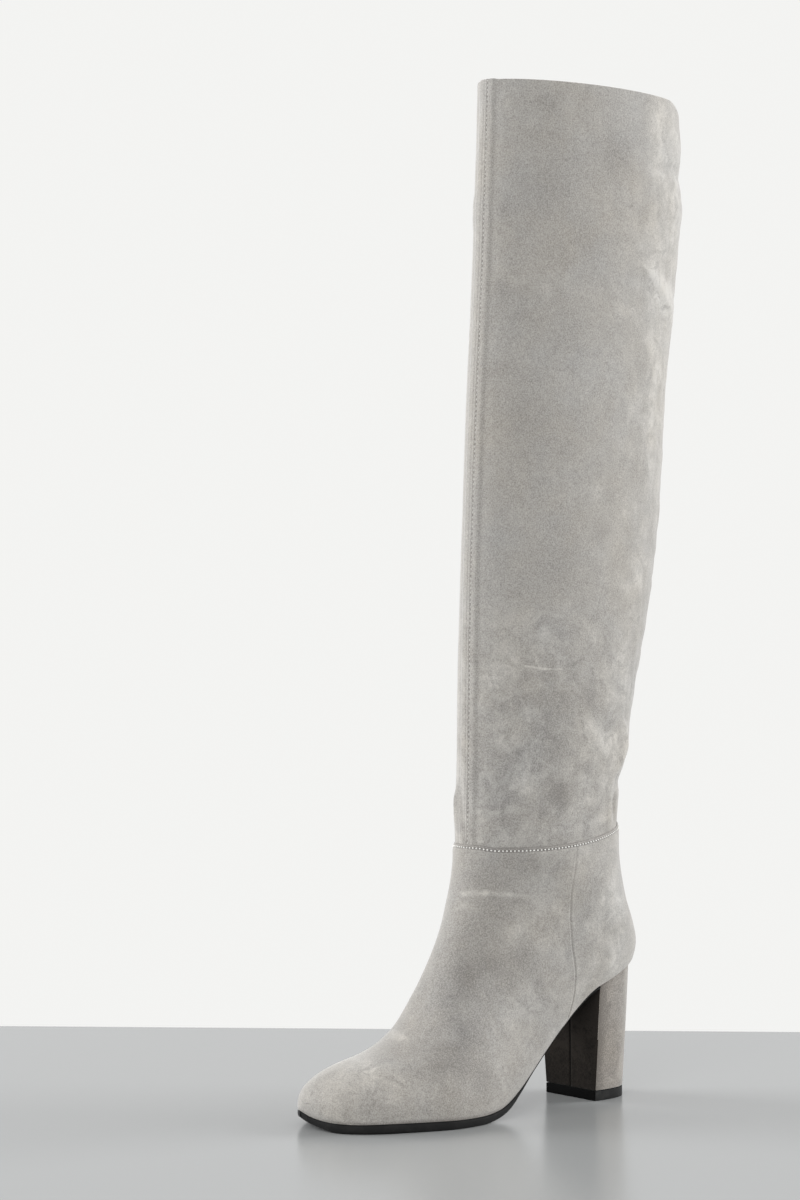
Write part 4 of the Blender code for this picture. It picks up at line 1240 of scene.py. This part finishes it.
# The heel's suede is browner than the upper's, and set darker as painted shade from the counter and
# the floor
HEEL_SHADED_DARK = (0.175, 0.160, 0.146, 1.0)
HEEL_SHADED_LIGHT = (0.500, 0.468, 0.430, 1.0)
HEEL_SHADED_BASE = 0.30
# The breast's suede: near black with little bloom, partly a dark covering and partly painted shade
# under the arch
BREAST_SHADED_DARK = (0.004, 0.0034, 0.003, 1.0)
BREAST_SHADED_LIGHT = (0.028, 0.024, 0.021, 1.0)
BREAST_BLOOM = 0.12
BREAST_SEAM = 0.5        # depth and width of the seam
BREAST_SEAM_WIDTH = 0.7
BREAST_FACING = -0.7     # how far forward a face of the breast looks
LOW_EDGE_FACING = -0.2   # how far down one of its eased low edge looks
BREAST_RISE = 0.9        # how much lighter the breast is at the seat
BREAST_EDGE_SHADE = -0.32        # painted shade: the sides darken towards the breast
EDGE_FADE = 9.0
HEEL_UNREST = 0.6


def heel_ring(share, height, seam_depth=0.0, count=40):
    """The heel's plan at a share of its height: a straight breast and a rounded back."""
    breast, back, half, roundness = (
        np.interp(share, (0, 1), ends)
        for ends in (HEEL_BREAST, HEEL_BACK, HEEL_HALF_WIDTH, HEEL_ROUNDNESS))
    angle = np.linspace(0, np.pi, 2 * count + 1)
    reach = np.abs(np.sin(angle)) ** (2 / roundness)
    side = half * np.sign(np.cos(angle)) * np.abs(np.cos(angle)) ** (2 / roundness)
    across = np.linspace(-half, half, BREAST_STEPS + 1)[1:-1]
    seam = seam_depth * hump(across, BREAST_SEAM_WIDTH)
    forward = np.concatenate((breast - (breast - back) * reach, breast - seam))
    side = np.concatenate((side, across))
    return [(f, s, float(height(f, s))) for f, s in zip(forward, side)]


heel_low = CAP_THICK + GAP
heel_rings = [heel_ring(share, lambda f, side, share=share:
                        heel_low + share * (feather_up(f, side) - GAP - heel_low), BREAST_SEAM)
              for share in HEEL_LEVELS]
suede_heel_shaded = suede("suede_heel_shaded", (), HEEL_SHADED_DARK, HEEL_SHADED_LIGHT, HEEL_SHADED_BASE)
heel = lofted("heel_suede", heel_rings, suede_heel_shaded, HEEL_EASE)
shaded_breast_suede = suede("shaded_breast_suede", (), BREAST_SHADED_DARK, BREAST_SHADED_LIGHT, bloom=BREAST_BLOOM)
heel.data.materials.append(shaded_breast_suede)
seat_up = float(feather_up(HEEL_BREAST[1], 0.0))
corners = vertex_values(heel.data, "co") * 1000
forward = SHIFT_FORWARD - corners[:, 1]
breast = np.interp(corners[:, 2], (heel_low, seat_up), HEEL_BREAST)
# Painted shade on the sides as they near the breast
side_shade = BREAST_EDGE_SHADE * smooth(forward - breast, -EDGE_FADE, -HEEL_EASE)
breast_tone = BREAST_RISE * smooth(corners[:, 2], heel_low, seat_up)
paint(heel.data, np.where(forward > breast - HEEL_EASE / 3, breast_tone, side_shade), HEEL_UNREST)
# Faces looking forward, and the eased low edge near the breast, take the near-black breast suede,
# partly painted shade
breast_rear = place(((HEEL_BREAST[0] - 2 * HEEL_EASE, 0.0, 0.0),))[0, 1]
for face in heel.data.polygons:
    shaded_low_edge = face.normal.z < LOW_EDGE_FACING and face.center.y < breast_rear
    face.material_index = int(face.normal.y < BREAST_FACING or shaded_low_edge)
seat(heel, "heel")

# The heel cap: a moulded top piece of hard black rubber with eased edges. It is pinned under the
# heel and meets the floor. Its front is painted blacker and duller than its scuffed sides, as painted
# shade.
CAP_EASE = 0.5
CAP_LEVELS = 3
CAP_BLACK = (0.013, 0.013, 0.013, 1.0)
CAP_WORN = (0.060, 0.059, 0.057, 1.0)
CAP_ROUGHNESS = 0.48
# The cap's front: painted shade, blacker and duller than the sides
CAP_BREAST_SHADE_BLACK = (0.002, 0.002, 0.002, 1.0)
CAP_BREAST_SHADE_WORN = (0.006, 0.006, 0.006, 1.0)
CAP_BREAST_ROUGHNESS = 0.6
CAP_BREAST_GLOSS = 0.1

cap_rings = [heel_ring(0.0, lambda f, side, up=up: up)
             for up in np.linspace(0.0, CAP_THICK, CAP_LEVELS)]
cap_rubber = rubber("cap_rubber", CAP_BLACK, CAP_WORN, CAP_ROUGHNESS)
cap = lofted("heel_cap_rubber", cap_rings, cap_rubber, CAP_EASE)
cap.data.materials.append(rubber("cap_breast_shaded_rubber", CAP_BREAST_SHADE_BLACK, CAP_BREAST_SHADE_WORN,
                                 CAP_BREAST_ROUGHNESS, CAP_BREAST_GLOSS))
# Faces looking forward take the painted-shade rubber
for face in cap.data.polygons:
    face.material_index = int(face.normal.y < BREAST_FACING)
seat(cap, "heel_cap")
